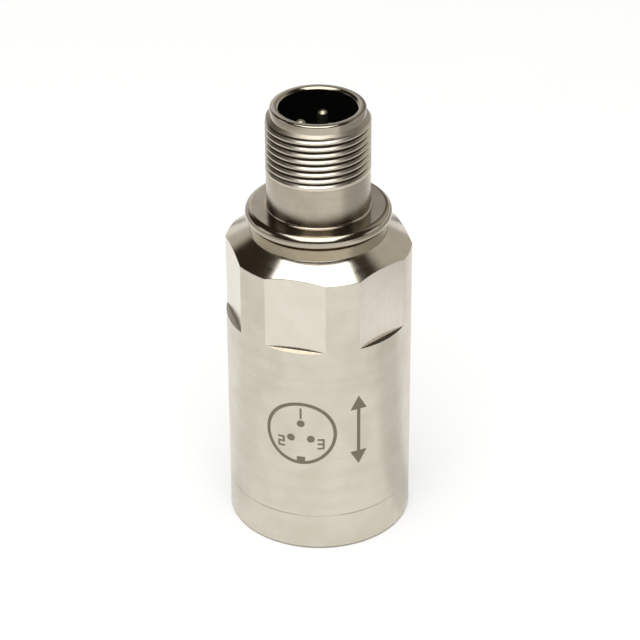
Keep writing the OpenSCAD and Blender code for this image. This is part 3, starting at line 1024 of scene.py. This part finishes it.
@dataclass
class Housing:
    """Turned case with its cone and neck, and six flats milled into the round body."""

    case_radius: float
    seam: float
    seat: float
    bore_radius: float = 11.5
    seam_break: float = 0.04
    flat_foot: float = 36.0
    ledge_slope: float = 8.0
    flat_count: int = 6
    flat_half_steps: int = 18
    first_flat: float = 30.0
    cone_angle: float = 30.0
    cone_clear: float = 6.0
    neck_radius: float = 10.5
    neck_height: float = 2.5
    neck_fillet: float = 0.06
    neck_round: float = 0.08
    neck_groove: float = 0.45
    groove_drop: float = 0.7
    groove_slope: float = 0.1
    neck_bore: float = 7.8
    ceiling: float = 45.4
    edge_round: float = 0.07
    edge_angle: float = 12.0
    edge_clear: float = 1.0
    paint_margin: float = 0.1
    steps: int = 336

    @property
    def cone_top(self) -> float:
        """Height at which the cone meets the neck."""
        return self.seat - self.neck_height

    @property
    def half_turn(self) -> float:
        """Half of the angle that a flat takes up, which falls on steps of the turned body."""
        return self.flat_half_steps * math.tau / self.steps

    @property
    def flat_distance(self) -> float:
        """Distance of a flat from the axis, in metres."""
        return self.case_radius * math.cos(self.half_turn) * MM

    def outline(self) -> list[Corner]:
        """Closed outline of the turned case.

        Returns:
            The corners, round the outside and back along the bore.
        """
        radius = self.case_radius
        groove_radius = self.neck_radius - self.neck_groove
        groove_foot = self.seat - self.groove_drop
        shoulder = self.cone_top - (radius - self.neck_radius) * math.tan(math.radians(self.cone_angle))
        return [
            Corner(self.bore_radius, self.seam),
            Corner(radius - self.seam_break, self.seam),
            Corner(radius, self.seam + self.seam_break, self.seam_break),
            Corner(radius, shoulder),
            Corner(self.neck_radius, self.cone_top, self.neck_fillet),
            Corner(self.neck_radius, groove_foot, self.neck_round, ROUND_STEPS),
            Corner(groove_radius, groove_foot + self.groove_slope),
            Corner(groove_radius, self.seat),
            Corner(self.neck_bore, self.seat),
            Corner(self.neck_bore, self.ceiling),
            Corner(self.bore_radius, self.ceiling),
        ]

    def draw_ledge(self, bm: bmesh.types.BMesh, turn: float) -> None:
        """Draw the outer edge of one flat's ledge on the round wall.

        Args:
            bm: mesh of the turned case.
            turn: direction that the flat faces.
        """
        outward = facing(turn)
        wall = [
            face
            for face in bm.faces
            if all(abs(vert.co.xy.length - self.case_radius * MM) < ON_PLANE for vert in face.verts)
            and face.calc_center_median().dot(outward) > self.flat_distance
        ]
        edges = {edge for face in wall for edge in face.edges}
        points = {vert for face in wall for vert in face.verts}
        slope = math.radians(self.ledge_slope)
        bmesh.ops.bisect_plane(
            bm,
            geom=[*points, *edges, *wall],
            dist=ON_PLANE,
            plane_co=outward * self.flat_distance + up(self.flat_foot),
            plane_no=outward * math.sin(slope) + Vector((0.0, 0.0, math.cos(slope))),
        )

    def mill_flat(self, bm: bmesh.types.BMesh, turn: float) -> None:
        """Cut the upper body back to one flat, and draw the chord at its foot.

        Args:
            bm: mesh of the turned case.
            turn: direction that the flat faces.
        """
        foot = self.flat_foot * MM
        upper = [vert for vert in bm.verts if vert.co.z > foot + ON_PLANE]
        faces = {face for vert in upper for face in vert.link_faces}
        edges = {edge for face in faces for edge in face.edges}
        bmesh.ops.bisect_plane(
            bm,
            geom=[*upper, *edges, *faces],
            dist=ON_PLANE,
            plane_co=facing(turn) * self.flat_distance,
            plane_no=facing(turn),
            clear_outer=True,
        )
        ring = [vert for vert in bm.verts if abs(vert.co.z - foot) < ON_PLANE and vert.is_boundary]
        ends = []
        for side in (turn - self.half_turn, turn + self.half_turn):
            corner = facing(side) * self.case_radius * MM + up(self.flat_foot)
            ends.append(min(ring, key=lambda vert: (vert.co - corner).length))
        bmesh.ops.contextual_create(bm, geom=ends)

    def close_flats(self, bm: bmesh.types.BMesh) -> None:
        """Fill the six flats and then the ledges at their feet.

        Args:
            bm: mesh of the turned case.
        """
        foot = self.flat_foot * MM
        chords = [edge for edge in bm.edges if edge.is_wire]
        cuts = [e for e in bm.edges if e.is_boundary and max(v.co.z for v in e.verts) > foot + ON_PLANE]
        bmesh.ops.edgeloop_fill(bm, edges=[*chords, *cuts], mat_nr=1, use_smooth=True)
        ledges = [edge for edge in bm.edges if edge.is_boundary]
        bmesh.ops.edgeloop_fill(bm, edges=ledges, mat_nr=1, use_smooth=True)
        bmesh.ops.recalc_face_normals(bm, faces=bm.faces)

    def crisp_edges(self, bm: bmesh.types.BMesh) -> list[bmesh.types.BMEdge]:
        """Find the edges of the flats and of the shoulder.

        Args:
            bm: mesh of the turned case.

        Returns:
            The edges above the foot of the flats and clear of the neck.
        """
        foot = self.flat_foot * MM
        least = (self.neck_radius + self.edge_clear) * MM
        return [
            edge
            for edge in bm.edges
            if max(vert.co.z for vert in edge.verts) > foot + ON_PLANE
            and min(vert.co.xy.length for vert in edge.verts) > least
            and edge.calc_face_angle(0.0) > math.radians(self.edge_angle)
        ]

    def paint(self, lathe: Lathe) -> None:
        """Mark the round wall 0, the cone 2 and the neck 3; the flats get 1 when they are filled.

        Args:
            lathe: the turned case.
        """
        margin = self.paint_margin
        cone_foot = self.flat_foot + self.cone_clear
        lathe.paint(2, lambda radius, height: radius > self.neck_radius and height > cone_foot)
        lathe.paint(0, lambda radius, height: radius > self.case_radius - margin)
        lathe.paint(3, lambda radius, height: radius < self.neck_radius + margin and height > self.cone_top)

    def build(self, finishes: Finishes) -> bpy.types.Object:
        """Turn the case and mill its flats.

        Args:
            finishes: finishes of the sensor.

        Returns:
            The piece.
        """
        lathe = Lathe(self.steps)
        lathe.turn(self.outline(), closed=True)
        self.paint(lathe)
        for number in range(self.flat_count):
            turn = math.radians(self.first_flat) + number * math.tau / self.flat_count
            self.draw_ledge(lathe.bm, turn)
            self.mill_flat(lathe.bm, turn)
        self.close_flats(lathe.bm)
        soften(lathe.bm, self.crisp_edges(lathe.bm), self.edge_round, ROUND_STEPS, Rounding.EDGES)
        dress = (finishes.case, finishes.flats, finishes.cone, finishes.neck)
        return lathe.finish("turned_housing", "housing", Slot.CASE_STEEL, dress)


@dataclass
class ConnectorShell:
    """Flange, barrel and spigot in one piece, with a screw thread outside and a key in its socket."""

    seat: float
    foot: float
    top: float
    seal_top: float
    flange_radius: float = 11.15
    flange_height: float = 1.6
    flange_round: float = 1.05
    flange_steps: int = 12
    barrel_radius: float = 7.9
    barrel_fillet: float = 0.3
    barrel_steps: int = 5
    thread_radius: float = 7.94
    thread_depth: float = 0.50
    thread_pitch: float = 1.058
    thread_root: float = 0.10
    thread_gap: float = 0.06
    crest_round: float = 0.06
    flank_angle: float = 37.0
    thread_low: float = 60.2
    lead_in_low: float = 68.42
    lead_in_high: float = 69.05
    lead_in_steps: int = 8
    rim_radius: float = 7.2
    rim_round: float = 0.3
    rim_steps: int = 4
    rim_break: float = 0.34
    rim_drop: float = 0.28
    mouth_round: float = 0.06
    socket_radius: float = 5.9
    socket_round: float = 0.1
    spigot_radius: float = 7.75
    spigot_round: float = 0.15
    key_radius: float = 0.8
    key_drop: float = 1.5
    key_sides: int = 32
    paint_margin: float = 0.02
    steps: int = 192

    def bound(self, height: float) -> float:
        """Radius of the thread's envelope at a height, which narrows along the lead-in cone."""
        share = (height - self.lead_in_low) / (self.lead_in_high - self.lead_in_low)
        return self.thread_radius + (self.rim_radius - self.thread_radius) * min(max(share, 0.0), 1.0)

    def outline(self, low: float, high: float) -> list[Corner]:
        """Outline of all but the thread.

        Args:
            low: height at which the barrel meets the thread.
            high: height at which the rim meets the lead-in cone.

        Returns:
            The corners, from the barrel down, round the flange and up the socket to the rim.
        """
        ledge = self.seat + self.flange_height
        return [
            Corner(self.barrel_radius, low),
            Corner(self.barrel_radius, ledge, self.barrel_fillet, self.barrel_steps),
            Corner(self.flange_radius, ledge, self.flange_round, self.flange_steps),
            Corner(self.flange_radius, self.seat, self.spigot_round, ROUND_STEPS),
            Corner(self.spigot_radius, self.seat),
            Corner(self.spigot_radius, self.foot, self.spigot_round),
            Corner(self.socket_radius, self.foot, self.socket_round),
            Corner(self.socket_radius, self.top - self.rim_drop, self.mouth_round),
            Corner(self.socket_radius + self.rim_break, self.top, self.mouth_round),
            Corner(self.rim_radius, self.top, self.rim_round, self.rim_steps),
            Corner(self.rim_radius, high),
        ]

    def cut_thread(self, lathe: Lathe) -> None:
        """Cut the thread up to the end of its lead-in cone.

        Args:
            lathe: mesh of the shell, which is still empty.
        """
        helix = Helix(
            self.thread_radius,
            self.thread_radius - self.thread_depth,
            self.thread_pitch,
            self.thread_root,
            self.thread_low,
            self.lead_in_high,
            self.thread_pitch,
            ThreadSide.OUTSIDE,
            self.crest_round,
            self.flank_angle,
        )
        rise = (self.lead_in_high - self.lead_in_low) / self.lead_in_steps
        cuts = [self.lead_in_low + number * rise for number in range(self.lead_in_steps)]
        lathe.cut_thread(helix, self.bound, cuts)

    def set_key(self, bm: bmesh.types.BMesh) -> None:
        """Stand the round key on the seal, half in the wall of the socket.

        Args:
            bm: mesh of the shell.
        """
        height = self.top - self.key_drop - self.seal_top
        place = Vector((0.0, -self.socket_radius, self.seal_top + height / 2)) * MM
        bmesh.ops.create_cone(
            bm,
            cap_ends=True,
            segments=self.key_sides,
            radius1=self.key_radius * MM,
            radius2=self.key_radius * MM,
            depth=height * MM,
            matrix=Matrix.Translation(place),
        )

    def paint(self, lathe: Lathe) -> None:
        """Mark the socket 1, and outside it the thread 2, the lead-in cone 3 and the barrel 4.

        Args:
            lathe: the finished shell.
        """
        socket = self.socket_radius + self.paint_margin
        mouth = self.top - self.rim_drop
        barrel_foot = self.seat + self.flange_height + self.barrel_fillet
        levels = (barrel_foot, self.thread_low, self.lead_in_low, self.lead_in_high)
        lathe.paint(1, lambda radius, height: radius < socket and height < mouth)
        for number, low, high in zip((4, 2, 3), levels, levels[1:]):
            lathe.paint(number, lambda radius, height: radius > socket and low < height < high)

    def build(self, finishes: Finishes) -> bpy.types.Object:
        """Turn the shell, cut its thread and set its key.

        Args:
            finishes: finishes of the sensor.

        Returns:
            The piece.
        """
        lathe = Lathe(self.steps)
        self.cut_thread(lathe)
        low = self.thread_low - self.thread_gap
        high = self.lead_in_high + self.thread_gap
        lathe.turn(self.outline(low, high))
        lathe.bridge(low, self.thread_low)
        lathe.bridge(high, self.lead_in_high)
        self.set_key(lathe.bm)
        self.paint(lathe)
        dress = (finishes.shell, finishes.socket, finishes.thread, finishes.lead_in, finishes.barrel)
        return lathe.finish("threaded_shell", "connector_shell", Slot.SHELL_STEEL, dress)


@dataclass
class EtchedMark:
    """Laser-etched signs on the round body: an arrow along the sensed axis, and a dial of the pins."""

    radius: float
    height: float = 21.5
    line: float = 0.55
    arrow_half: float = 6.2
    arrow_place: float = 6.2
    head_size: float = 1.6
    dial_place: float = -2.9
    dial_radius: float = 5.6
    dial_sides: int = 72
    dot_radius: float = 0.62
    dot_ring: float = 1.8
    dot_sides: int = 24
    digit_ring: float = 3.62
    digit_height: float = 1.9
    digit_width: float = 1.1
    digit_line: float = 0.32
    notch: Spot = (1.3, 0.8)
    strip: float = 0.4

    def bar(self, bm: bmesh.types.BMesh, middle: Spot, size: Spot) -> None:
        """Draw a flat bar.

        Args:
            bm: mesh of the marks, flat in X and Y.
            middle: middle of the bar.
            size: width and height.
        """
        matrix = Matrix.Translation((*middle, 0.0)) @ Matrix.Diagonal((*size, 1.0, 1.0))
        bmesh.ops.create_grid(bm, x_segments=1, y_segments=1, size=0.5, matrix=matrix)

    def disc(self, bm: bmesh.types.BMesh, middle: Spot, radius: float, sides: int, turn: float = 0.0) -> None:
        """Draw a flat disc, or a triangle when it has three sides.

        Args:
            bm: mesh of the marks.
            middle: middle of the disc.
            radius: distance of its corners from the middle.
            sides: number of its corners.
            turn: how far it is turned.
        """
        matrix = Matrix.Translation((*middle, 0.0)) @ Matrix.Rotation(turn, 4, "Z")
        bmesh.ops.create_circle(bm, cap_ends=True, segments=sides, radius=radius, matrix=matrix)

    def ring(self, bm: bmesh.types.BMesh, middle: Spot, radius: float) -> None:
        """Draw a ring one line wide.

        Args:
            bm: mesh of the marks.
            middle: middle of the ring.
            radius: its outer radius.
        """
        before = set(bm.faces)
        self.disc(bm, middle, radius, self.dial_sides)
        face = next(face for face in bm.faces if face not in before)
        bmesh.ops.inset_individual(bm, faces=[face], thickness=self.line, use_even_offset=True)
        bmesh.ops.delete(bm, geom=[face], context="FACES_ONLY")

    def digit(self, bm: bmesh.types.BMesh, middle: Spot, bars: Iterable[DigitBar]) -> None:
        """Draw a plain number of straight bars.

        Args:
            bm: mesh of the marks.
            middle: middle of the number.
            bars: the bars that it shows.
        """
        wide, tall, line = self.digit_width, self.digit_height, self.digit_line
        sizes = ((wide, line), (line, (tall - 3 * line) / 2), (line, tall))
        for bar in bars:
            across, along, halves = bar.value
            place = (middle[0] + across * (wide - line) / 2, middle[1] + along * (tall - line) / 2)
            self.bar(bm, place, sizes[halves])

    def draw_arrow(self, bm: bmesh.types.BMesh) -> None:
        """Draw an upright arrow with a head at each end.

        Args:
            bm: mesh of the marks.
        """
        shaft = 2 * self.arrow_half - 3 * self.head_size
        self.bar(bm, (self.arrow_place, 0.0), (self.line, shaft))
        for side in (-1, 1):
            middle = (self.arrow_place, side * (self.arrow_half - self.head_size))
            self.disc(bm, middle, self.head_size, 3, math.pi / 2 * (side - 1))

    def draw_dial(self, bm: bmesh.types.BMesh) -> None:
        """Draw a ring with a notch for the key, and in it a dot and a number for each pin.

        Args:
            bm: mesh of the marks.
        """
        dial = Vector((self.dial_place, 0.0))
        self.ring(bm, dial[:], self.dial_radius)
        for number, bars in enumerate(PIN_NUMBERS):
            out = facing(math.pi / 2 + number * math.tau / len(PIN_NUMBERS)).xy
            self.disc(bm, (dial + out * self.dot_ring)[:], self.dot_radius, self.dot_sides)
            self.digit(bm, (dial + out * self.digit_ring)[:], bars)
        self.bar(bm, (self.dial_place, self.line + self.notch[1] / 2 - self.dial_radius), self.notch)

    def wrap(self, bm: bmesh.types.BMesh) -> None:
        """Cut the flat marks into narrow strips and lay them round the body.

        Args:
            bm: mesh of the marks.
        """
        strips = math.ceil(max(abs(vert.co.x) for vert in bm.verts) / self.strip)
        for number in range(-strips, strips + 1):
            bmesh.ops.bisect_plane(
                bm,
                geom=everything(bm),
                dist=ON_PLANE / MM,
                plane_co=(number * self.strip, 0.0, 0.0),
                plane_no=(1.0, 0.0, 0.0),
            )
        for vert in bm.verts:
            turn = VIEW_TURN - math.pi / 2 + vert.co.x / self.radius
            vert.co = facing(turn) * self.radius * MM + up(self.height + vert.co.y)

    def build(self, finishes: Finishes) -> bpy.types.Object:
        """Draw the marks and lay them on the body.

        Args:
            finishes: finishes of the sensor.

        Returns:
            The piece.
        """
        bm = bmesh.new()
        self.draw_arrow(bm)
        self.draw_dial(bm)
        self.wrap(bm)
        bmesh.ops.recalc_face_normals(bm, faces=bm.faces)
        piece = add_piece(bm, "etched_mark", [finishes.etch.material()])
        return piece


@dataclass
class InnerPieces:
    """The CAD nodes that keep their shape: seal, contacts, sensing element, boards and leads."""

    nodes: Mapping[str, bpy.types.Object]
    leg_reach: float = 1.05
    leg_edge: float = 0.02
    leg_tin: Colour = (0.62, 0.62, 0.60)
    capacitor_half: float = 1.75
    end_length: float = 0.55
    end_edge: float = 0.06
    end_tin: Colour = (0.66, 0.65, 0.62)
    rim_start: float = 0.35
    rim_end: float = 0.25
    bare_rim: Colour = (0.42, 0.40, 0.22)

    def dress(self, finish: Finish, names: Sequence[str]) -> None:
        """Give nodes one finish.

        Args:
            finish: their finish.
            names: the nodes.
        """
        material = finish.material()
        for name in names:
            for slot in self.nodes[name].material_slots:
                slot.material = material
            LOG.info("%s: %s", name, material.name)

    def chip_finish(self, name: str) -> Finish:
        """Work out the finish of a chip.

        Args:
            name: the chip.

        Returns:
            Resin between the two rows of legs, and tin outside them.
        """
        low, high = (corner.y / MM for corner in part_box(name))
        edge = (high - low) / 2 - self.leg_reach
        span = (edge, edge + self.leg_edge)
        legs = Cover(self.leg_tin, Course.ROWS, span, (low + high) / 2, metal=1.0, rough=-0.25)
        return ChipResin(f"{name}_resin", cover=legs)

    def capacitor_finish(self, name: str) -> Finish:
        """Work out the finish of a row of capacitors.

        Args:
            name: the node of the row.

        Returns:
            Ceramic in the middle of each block, and tin on its two ends.
        """
        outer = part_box(name)[1].x / MM - self.capacitor_half
        edge = self.capacitor_half - self.end_length
        span = (edge, edge + self.end_edge)
        ends = Cover(self.end_tin, Course.BLOCKS, span, outer, metal=0.9, rough=-0.08)
        return CapacitorBody(f"{name}_body", cover=ends)

    def board_finish(self) -> Finish:
        """Work out the finish of the boards.

        Returns:
            Green laminate with a bare rim.
        """
        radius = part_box("upper_board")[1].x / MM
        span = (radius - self.rim_start, radius - self.rim_end)
        rim = Cover(self.bare_rim, Course.RADIUS, span, rough=0.3)
        return BoardLaminate("board_laminate", (0.01, 0.11, 0.045), (0.02, 0.19, 0.07), cover=rim)

    def build(self) -> None:
        """Dress every node that is kept."""
        glass = SealGlass("seal_glass", (0.006, 0.007, 0.006), (0.014, 0.017, 0.014))
        plating = TurnedMetal(
            "contact_plating", (0.44, 0.42, 0.32), (0.38, 0.36, 0.27), 0.40, lathe_layers(9.0)
        )
        alumina = Ceramic("alumina", (0.82, 0.80, 0.74), (0.70, 0.67, 0.60), 0.55)
        crystal = Ceramic("poled_crystal", (0.62, 0.50, 0.30), (0.50, 0.39, 0.22), 0.50, grain_layers(8.0))
        steel = TurnedMetal("inner_steel", (0.62, 0.61, 0.59), (0.50, 0.49, 0.47), 0.30)
        heavy = MilledMetal(
            "heavy_metal", (0.33, 0.32, 0.31), (0.25, 0.24, 0.23), 0.40, cutter_layers((3.0, 3.0, 3.0))
        )
        brass = TurnedMetal("shield_brass", (0.80, 0.60, 0.28), (0.66, 0.46, 0.19), 0.28)
        block = Ceramic("link_block_plastic", (0.02, 0.02, 0.022), (0.05, 0.05, 0.05), 0.5)
        red = LeadJacket("lead_red", (0.45, 0.03, 0.02), (0.34, 0.02, 0.015))
        black = LeadJacket("lead_black", (0.02, 0.02, 0.02), (0.035, 0.035, 0.035))
        white = LeadJacket("lead_white", (0.78, 0.77, 0.72), (0.66, 0.65, 0.60))
        self.dress(glass, ["glass_seal"])
        self.dress(plating, ["contact_pin_a", "contact_pin_b", "contact_pin_c", "link_pins"])
        self.dress(alumina, ["insulating_disc", "insulating_sleeve", "insulating_washers"])
        self.dress(crystal, ["crystal_left", "crystal_right"])
        self.dress(steel, ["sensor_post", "clamp_bolt", "clamp_nut", "board_screws"])
        self.dress(heavy, ["mass_left", "mass_right"])
        self.dress(brass, ["shield_can", "lower_standoffs", "upper_standoffs"])
        self.dress(self.board_finish(), ["lower_board", "upper_board"])
        self.dress(block, ["link_block"])
        self.dress(red, ["signal_lead", "connector_lead_a"])
        self.dress(black, ["ground_lead", "connector_lead_b"])
        self.dress(white, ["connector_lead_c"])
        for name in ("amplifier_chip", "driver_chip", "power_transistor"):
            self.dress(self.chip_finish(name), [name])
        for name in ("filter_capacitors", "supply_capacitors"):
            self.dress(self.capacitor_finish(name), [name])


def view_axes() -> tuple[Vector, Vector, Vector]:
    """Directions to the photograph's right, towards its camera along the floor, and up."""
    right = facing(VIEW_TURN)
    return right, Vector((right.y, -right.x, 0.0)), Vector((0.0, 0.0, 1.0))


def looking_down(angle: float) -> Matrix:
    """Work out the axes of a camera or lamp that looks down at the sensor.

    Args:
        angle: degrees above the floor.

    Returns:
        Columns that point right, up the picture, and back from the sensor.
    """
    right, near, above = view_axes()
    tilt = math.radians(angle)
    back = near * math.cos(tilt) + above * math.sin(tilt)
    return Matrix((right, back.cross(right), back)).transposed()


@dataclass
class Floor:
    """Pale paper floor that shows white and keeps the sensor's shadow, with painted dark cards beside the
    sensor.

    Only metal mirrors the painted cards and the painted dark ends of the floor: these are painted
    reflections, dark only for glossy rays, with no card standing there. Slants are distances towards the
    camera over distances aside.
    """

    radius: float = 4.0
    drop: float = 0.02
    sides: int = 96
    paper: Colour = (0.90, 0.90, 0.89)
    paper_shade: Colour = (0.88, 0.88, 0.87)
    paper_rough: float = 0.9
    grain: Layer = Layer(0.05)
    white_share: float = 0.55
    far: Span = (200.0, 700.0)
    contact: Span = (14.0, 14.7)
    right_end: Span = (72.0, 115.0)
    right_slant: Span = (0.6, 1.1)
    left_end: Span = (105.0, 180.0)
    left_painted_card: float = 0.22
    right_painted_card_more: float = 0.26
    painted_card_back: Span = (-0.45, -0.15)
    painted_card_front: Span = (0.2, 0.5)
    painted_card_near: Span = (12.0, 20.0)
    painted_card_far: Span = (60.0, 72.0)
    middle: Span = (-1.0, 1.0)

    def shade(self, x: Wire, y: Wire) -> Wire:
        """Work out how dark metal sees each place of the floor.

        Args:
            x: first coordinate of the place.
            y: second coordinate of the place.

        Returns:
            0 where the floor is white to 1 where it is dark.
        """
        right, near, _ = view_axes()
        aside = x * right.x + y * right.y
        side = abs(aside)
        slant = (x * near.x + y * near.y) / side
        # Painted reflection: dark cards beside the sensor and dark floor ends, seen by metal only.
        painted_card = slant.rise(self.painted_card_back) * slant.fall(self.painted_card_front)
        painted_card = painted_card * side.rise(self.painted_card_near) * side.fall(self.painted_card_far)
        painted_card = painted_card * (self.left_painted_card + self.right_painted_card_more * aside.rise(self.middle))
        right_end = aside.rise(self.right_end) * slant.fall(self.right_slant)
        return right_end.most((0 - aside).rise(self.left_end)).most(painted_card)

    def material(self) -> bpy.types.Material:
        """Make the floor's paper.

        Returns:
            A pale matt paper, lifted to white where the camera or a mirror-like surface sees it, with painted
            dark reflections that only mirror-like surfaces see.
        """
        material = bpy.data.materials.new("floor_paper")
        graph = Graph(material)
        place = graph.place()
        x, y, _ = graph.split(place)
        reach = (x * x + y * y).root()
        paper = graph.node("ShaderNodeBsdfPrincipled", None, {
            "Base Color": graph.blend(self.paper, self.paper_shade, self.grain.noise(graph, place)),
            "Roughness": self.paper_rough,
        })
        camera, glossy, through = (
            graph.node("ShaderNodeLightPath", output=f"Is {kind} Ray")
            for kind in ("Camera", "Glossy", "Transmission")
        )
        # Painted reflection: glossy rays see the floor darkened towards ROOM_DARK where the shade mask lies.
        glow = graph.blend(WHITE, ROOM_DARK, glossy * self.shade(x, y))
        white = graph.node("ShaderNodeEmission", None, {"Color": glow, "Strength": 1.0})
        seen = camera * (self.white_share + (1 - self.white_share) * reach.rise(self.far))
        share = (glossy.most(through) * self.white_share).most(seen) * reach.rise(self.contact)
        both = graph.node("ShaderNodeMixShader", None, {0: share, 1: paper, 2: white})
        graph.node("ShaderNodeOutputMaterial", None, {"Surface": both})
        return material

    def build(self) -> None:
        """Lay the floor just under the sensor."""
        bm = bmesh.new()
        level = Matrix.Translation(up(-self.drop))
        bmesh.ops.create_circle(bm, cap_ends=True, segments=self.sides, radius=self.radius, matrix=level)
        floor = add_object(bm, "floor", [self.material()])


@dataclass
class Surround:
    """Dark room with a low white wall, a white panel behind, grey panels at the far corners and two strips.

    Spans are parts of a unit direction: aside to the right, behind the sensor, and up. The camera itself
    sees white all round.
    """

    white: Colour = (0.95, 0.95, 0.94)
    grey: Colour = (0.54, 0.51, 0.455)
    wall_lift: float = 0.10
    wall_lift_behind: Span = (-0.2, 0.4)
    wall_top: Span = (0.03, 0.10)
    back_behind: Span = (0.72, 0.82)
    back_left: Span = (-0.50, -0.32)
    back_right: Span = (-0.10, 0.17)
    back_top: Span = (0.51, 0.57)
    right_aside: Span = (0.05, 0.55)
    right_behind: Span = (0.20, 0.42)
    left_aside: Span = (0.30, 0.50)
    left_behind: Span = (0.66, 0.80)
    grey_top: Span = (0.78, 0.86)
    strip_aside: Span = (0.82, 0.90)
    strip_behind: Span = (0.15, 0.30)
    strip_foot: Span = (0.10, 0.16)
    strip_top: Span = (0.40, 0.48)

    def build(self) -> None:
        """Make the world that metal mirrors."""
        world = bpy.data.worlds.new("surround")
        bpy.context.scene.world = world
        graph = Graph(world)
        x, y, z = graph.split(graph.node("ShaderNodeTexCoord", output="Generated"))
        right, near, _ = view_axes()
        behind = x * -near.x + y * -near.y
        aside = x * right.x + y * right.y
        wall = (z - self.wall_lift * behind.rise(self.wall_lift_behind)).fall(self.wall_top)
        back = behind.rise(self.back_behind) * aside.rise(self.back_left) * aside.fall(self.back_right)
        strips = abs(aside).rise(self.strip_aside) * abs(behind).fall(self.strip_behind)
        strips = strips * z.rise(self.strip_foot) * z.fall(self.strip_top)
        white = wall.most(back * z.fall(self.back_top)).most(strips)
        right_panel = aside.rise(self.right_aside) * behind.rise(self.right_behind)
        left_panel = (0 - aside).rise(self.left_aside) * behind.rise(self.left_behind)
        panels = right_panel.most(left_panel) * z.fall(self.grey_top)
        colour = graph.blend(graph.blend(ROOM_DARK, self.grey, panels), self.white, white)
        camera = graph.node("ShaderNodeLightPath", output="Is Camera Ray")
        shown = graph.blend(colour, WHITE, camera)
        background = graph.node("ShaderNodeBackground", None, {"Color": shown, "Strength": 1.0})
        graph.node("ShaderNodeOutputWorld", None, {"Surface": background})


@dataclass
class Studio:
    """Floor, surround, a softbox, a fill lamp that metal does not mirror, and the camera."""

    view_height: float = 31.25
    view_distance: float = 400.4
    view_roll: float = -0.271
    aim_right: float = 0.152
    aim_height: float = 33.31
    lens: float = 145.15
    sensor: float = 36.0
    clip_start: float = 0.01
    box_distance: float = 0.85
    box_height: float = 73.0
    box_aside: float = -0.05
    box_width: float = 0.76
    box_depth: float = 1.0
    box_radiance: float = 2.35
    fill_radiance: float = 2.25

    def add_camera(self) -> None:
        """Put the camera at the photograph's viewing angle."""
        axes = looking_down(self.view_height)
        right, _, back = axes.col
        aim = right * self.aim_right * MM + up(self.aim_height)
        turn = axes @ Matrix.Rotation(math.radians(self.view_roll), 3, "Z")
        data = bpy.data.cameras.new("camera")
        data.sensor_width = self.sensor
        data.lens = self.lens
        data.clip_start = self.clip_start
        camera = bpy.data.objects.new("camera", data)
        camera.matrix_world = Matrix.Translation(aim + back * self.view_distance * MM) @ turn.to_4x4()
        bpy.context.scene.collection.objects.link(camera)
        bpy.context.scene.camera = camera

    def add_lamp(self, name: str, radiance: float, mirrored: bool) -> None:
        """Hang one lamp above the sensor, tilted towards it from the camera's side.

        Args:
            name: name of the lamp.
            radiance: brightness of its face.
            mirrored: whether metal mirrors it, or only matt surfaces take its light.
        """
        axes = looking_down(self.box_height)
        right, _, back = axes.col
        lamp = bpy.data.lights.new(name, "AREA")
        lamp.shape = "RECTANGLE"
        lamp.size = self.box_width
        lamp.size_y = self.box_depth
        lamp.energy = radiance * WATTS_PER_RADIANCE * self.box_width * self.box_depth
        holder = bpy.data.objects.new(name, lamp)
        place = back * self.box_distance + right * self.box_aside
        holder.matrix_world = Matrix.Translation(place) @ axes.to_4x4()
        holder.visible_glossy = mirrored
        bpy.context.scene.collection.objects.link(holder)

    def build(self) -> None:
        """Set up the whole studio."""
        bpy.context.scene.view_settings.view_transform = "Standard"
        self.add_camera()
        Floor().build()
        self.add_lamp("softbox", self.box_radiance, True)
        self.add_lamp("floor_fill", self.fill_radiance, False)
        Surround().build()


def main() -> None:
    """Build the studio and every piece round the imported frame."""
    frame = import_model()
    Studio().build()
    finishes = Finishes()
    base_box, housing_box, shell_box, seal_box = (
        [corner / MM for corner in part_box(node)]
        for node in ("mounting_base", "housing", "connector_shell", "glass_seal")
    )
    case_radius = housing_box[1].x - SKIN
    seam, seat = housing_box[0].z, housing_box[1].z
    MountingBase(case_radius, seam, base_box[1].z).build(finishes)
    Housing(case_radius, seam, seat).build(finishes)
    ConnectorShell(seat, shell_box[0].z, shell_box[1].z, seal_box[1].z).build(finishes)
    EtchedMark(housing_box[1].x - MARK_SKIN).build(finishes)
    InnerPieces(frame["nodes"]).build()


if __name__ == "__main__":
    logging.basicConfig(level=logging.INFO, format="%(message)s")
    main()
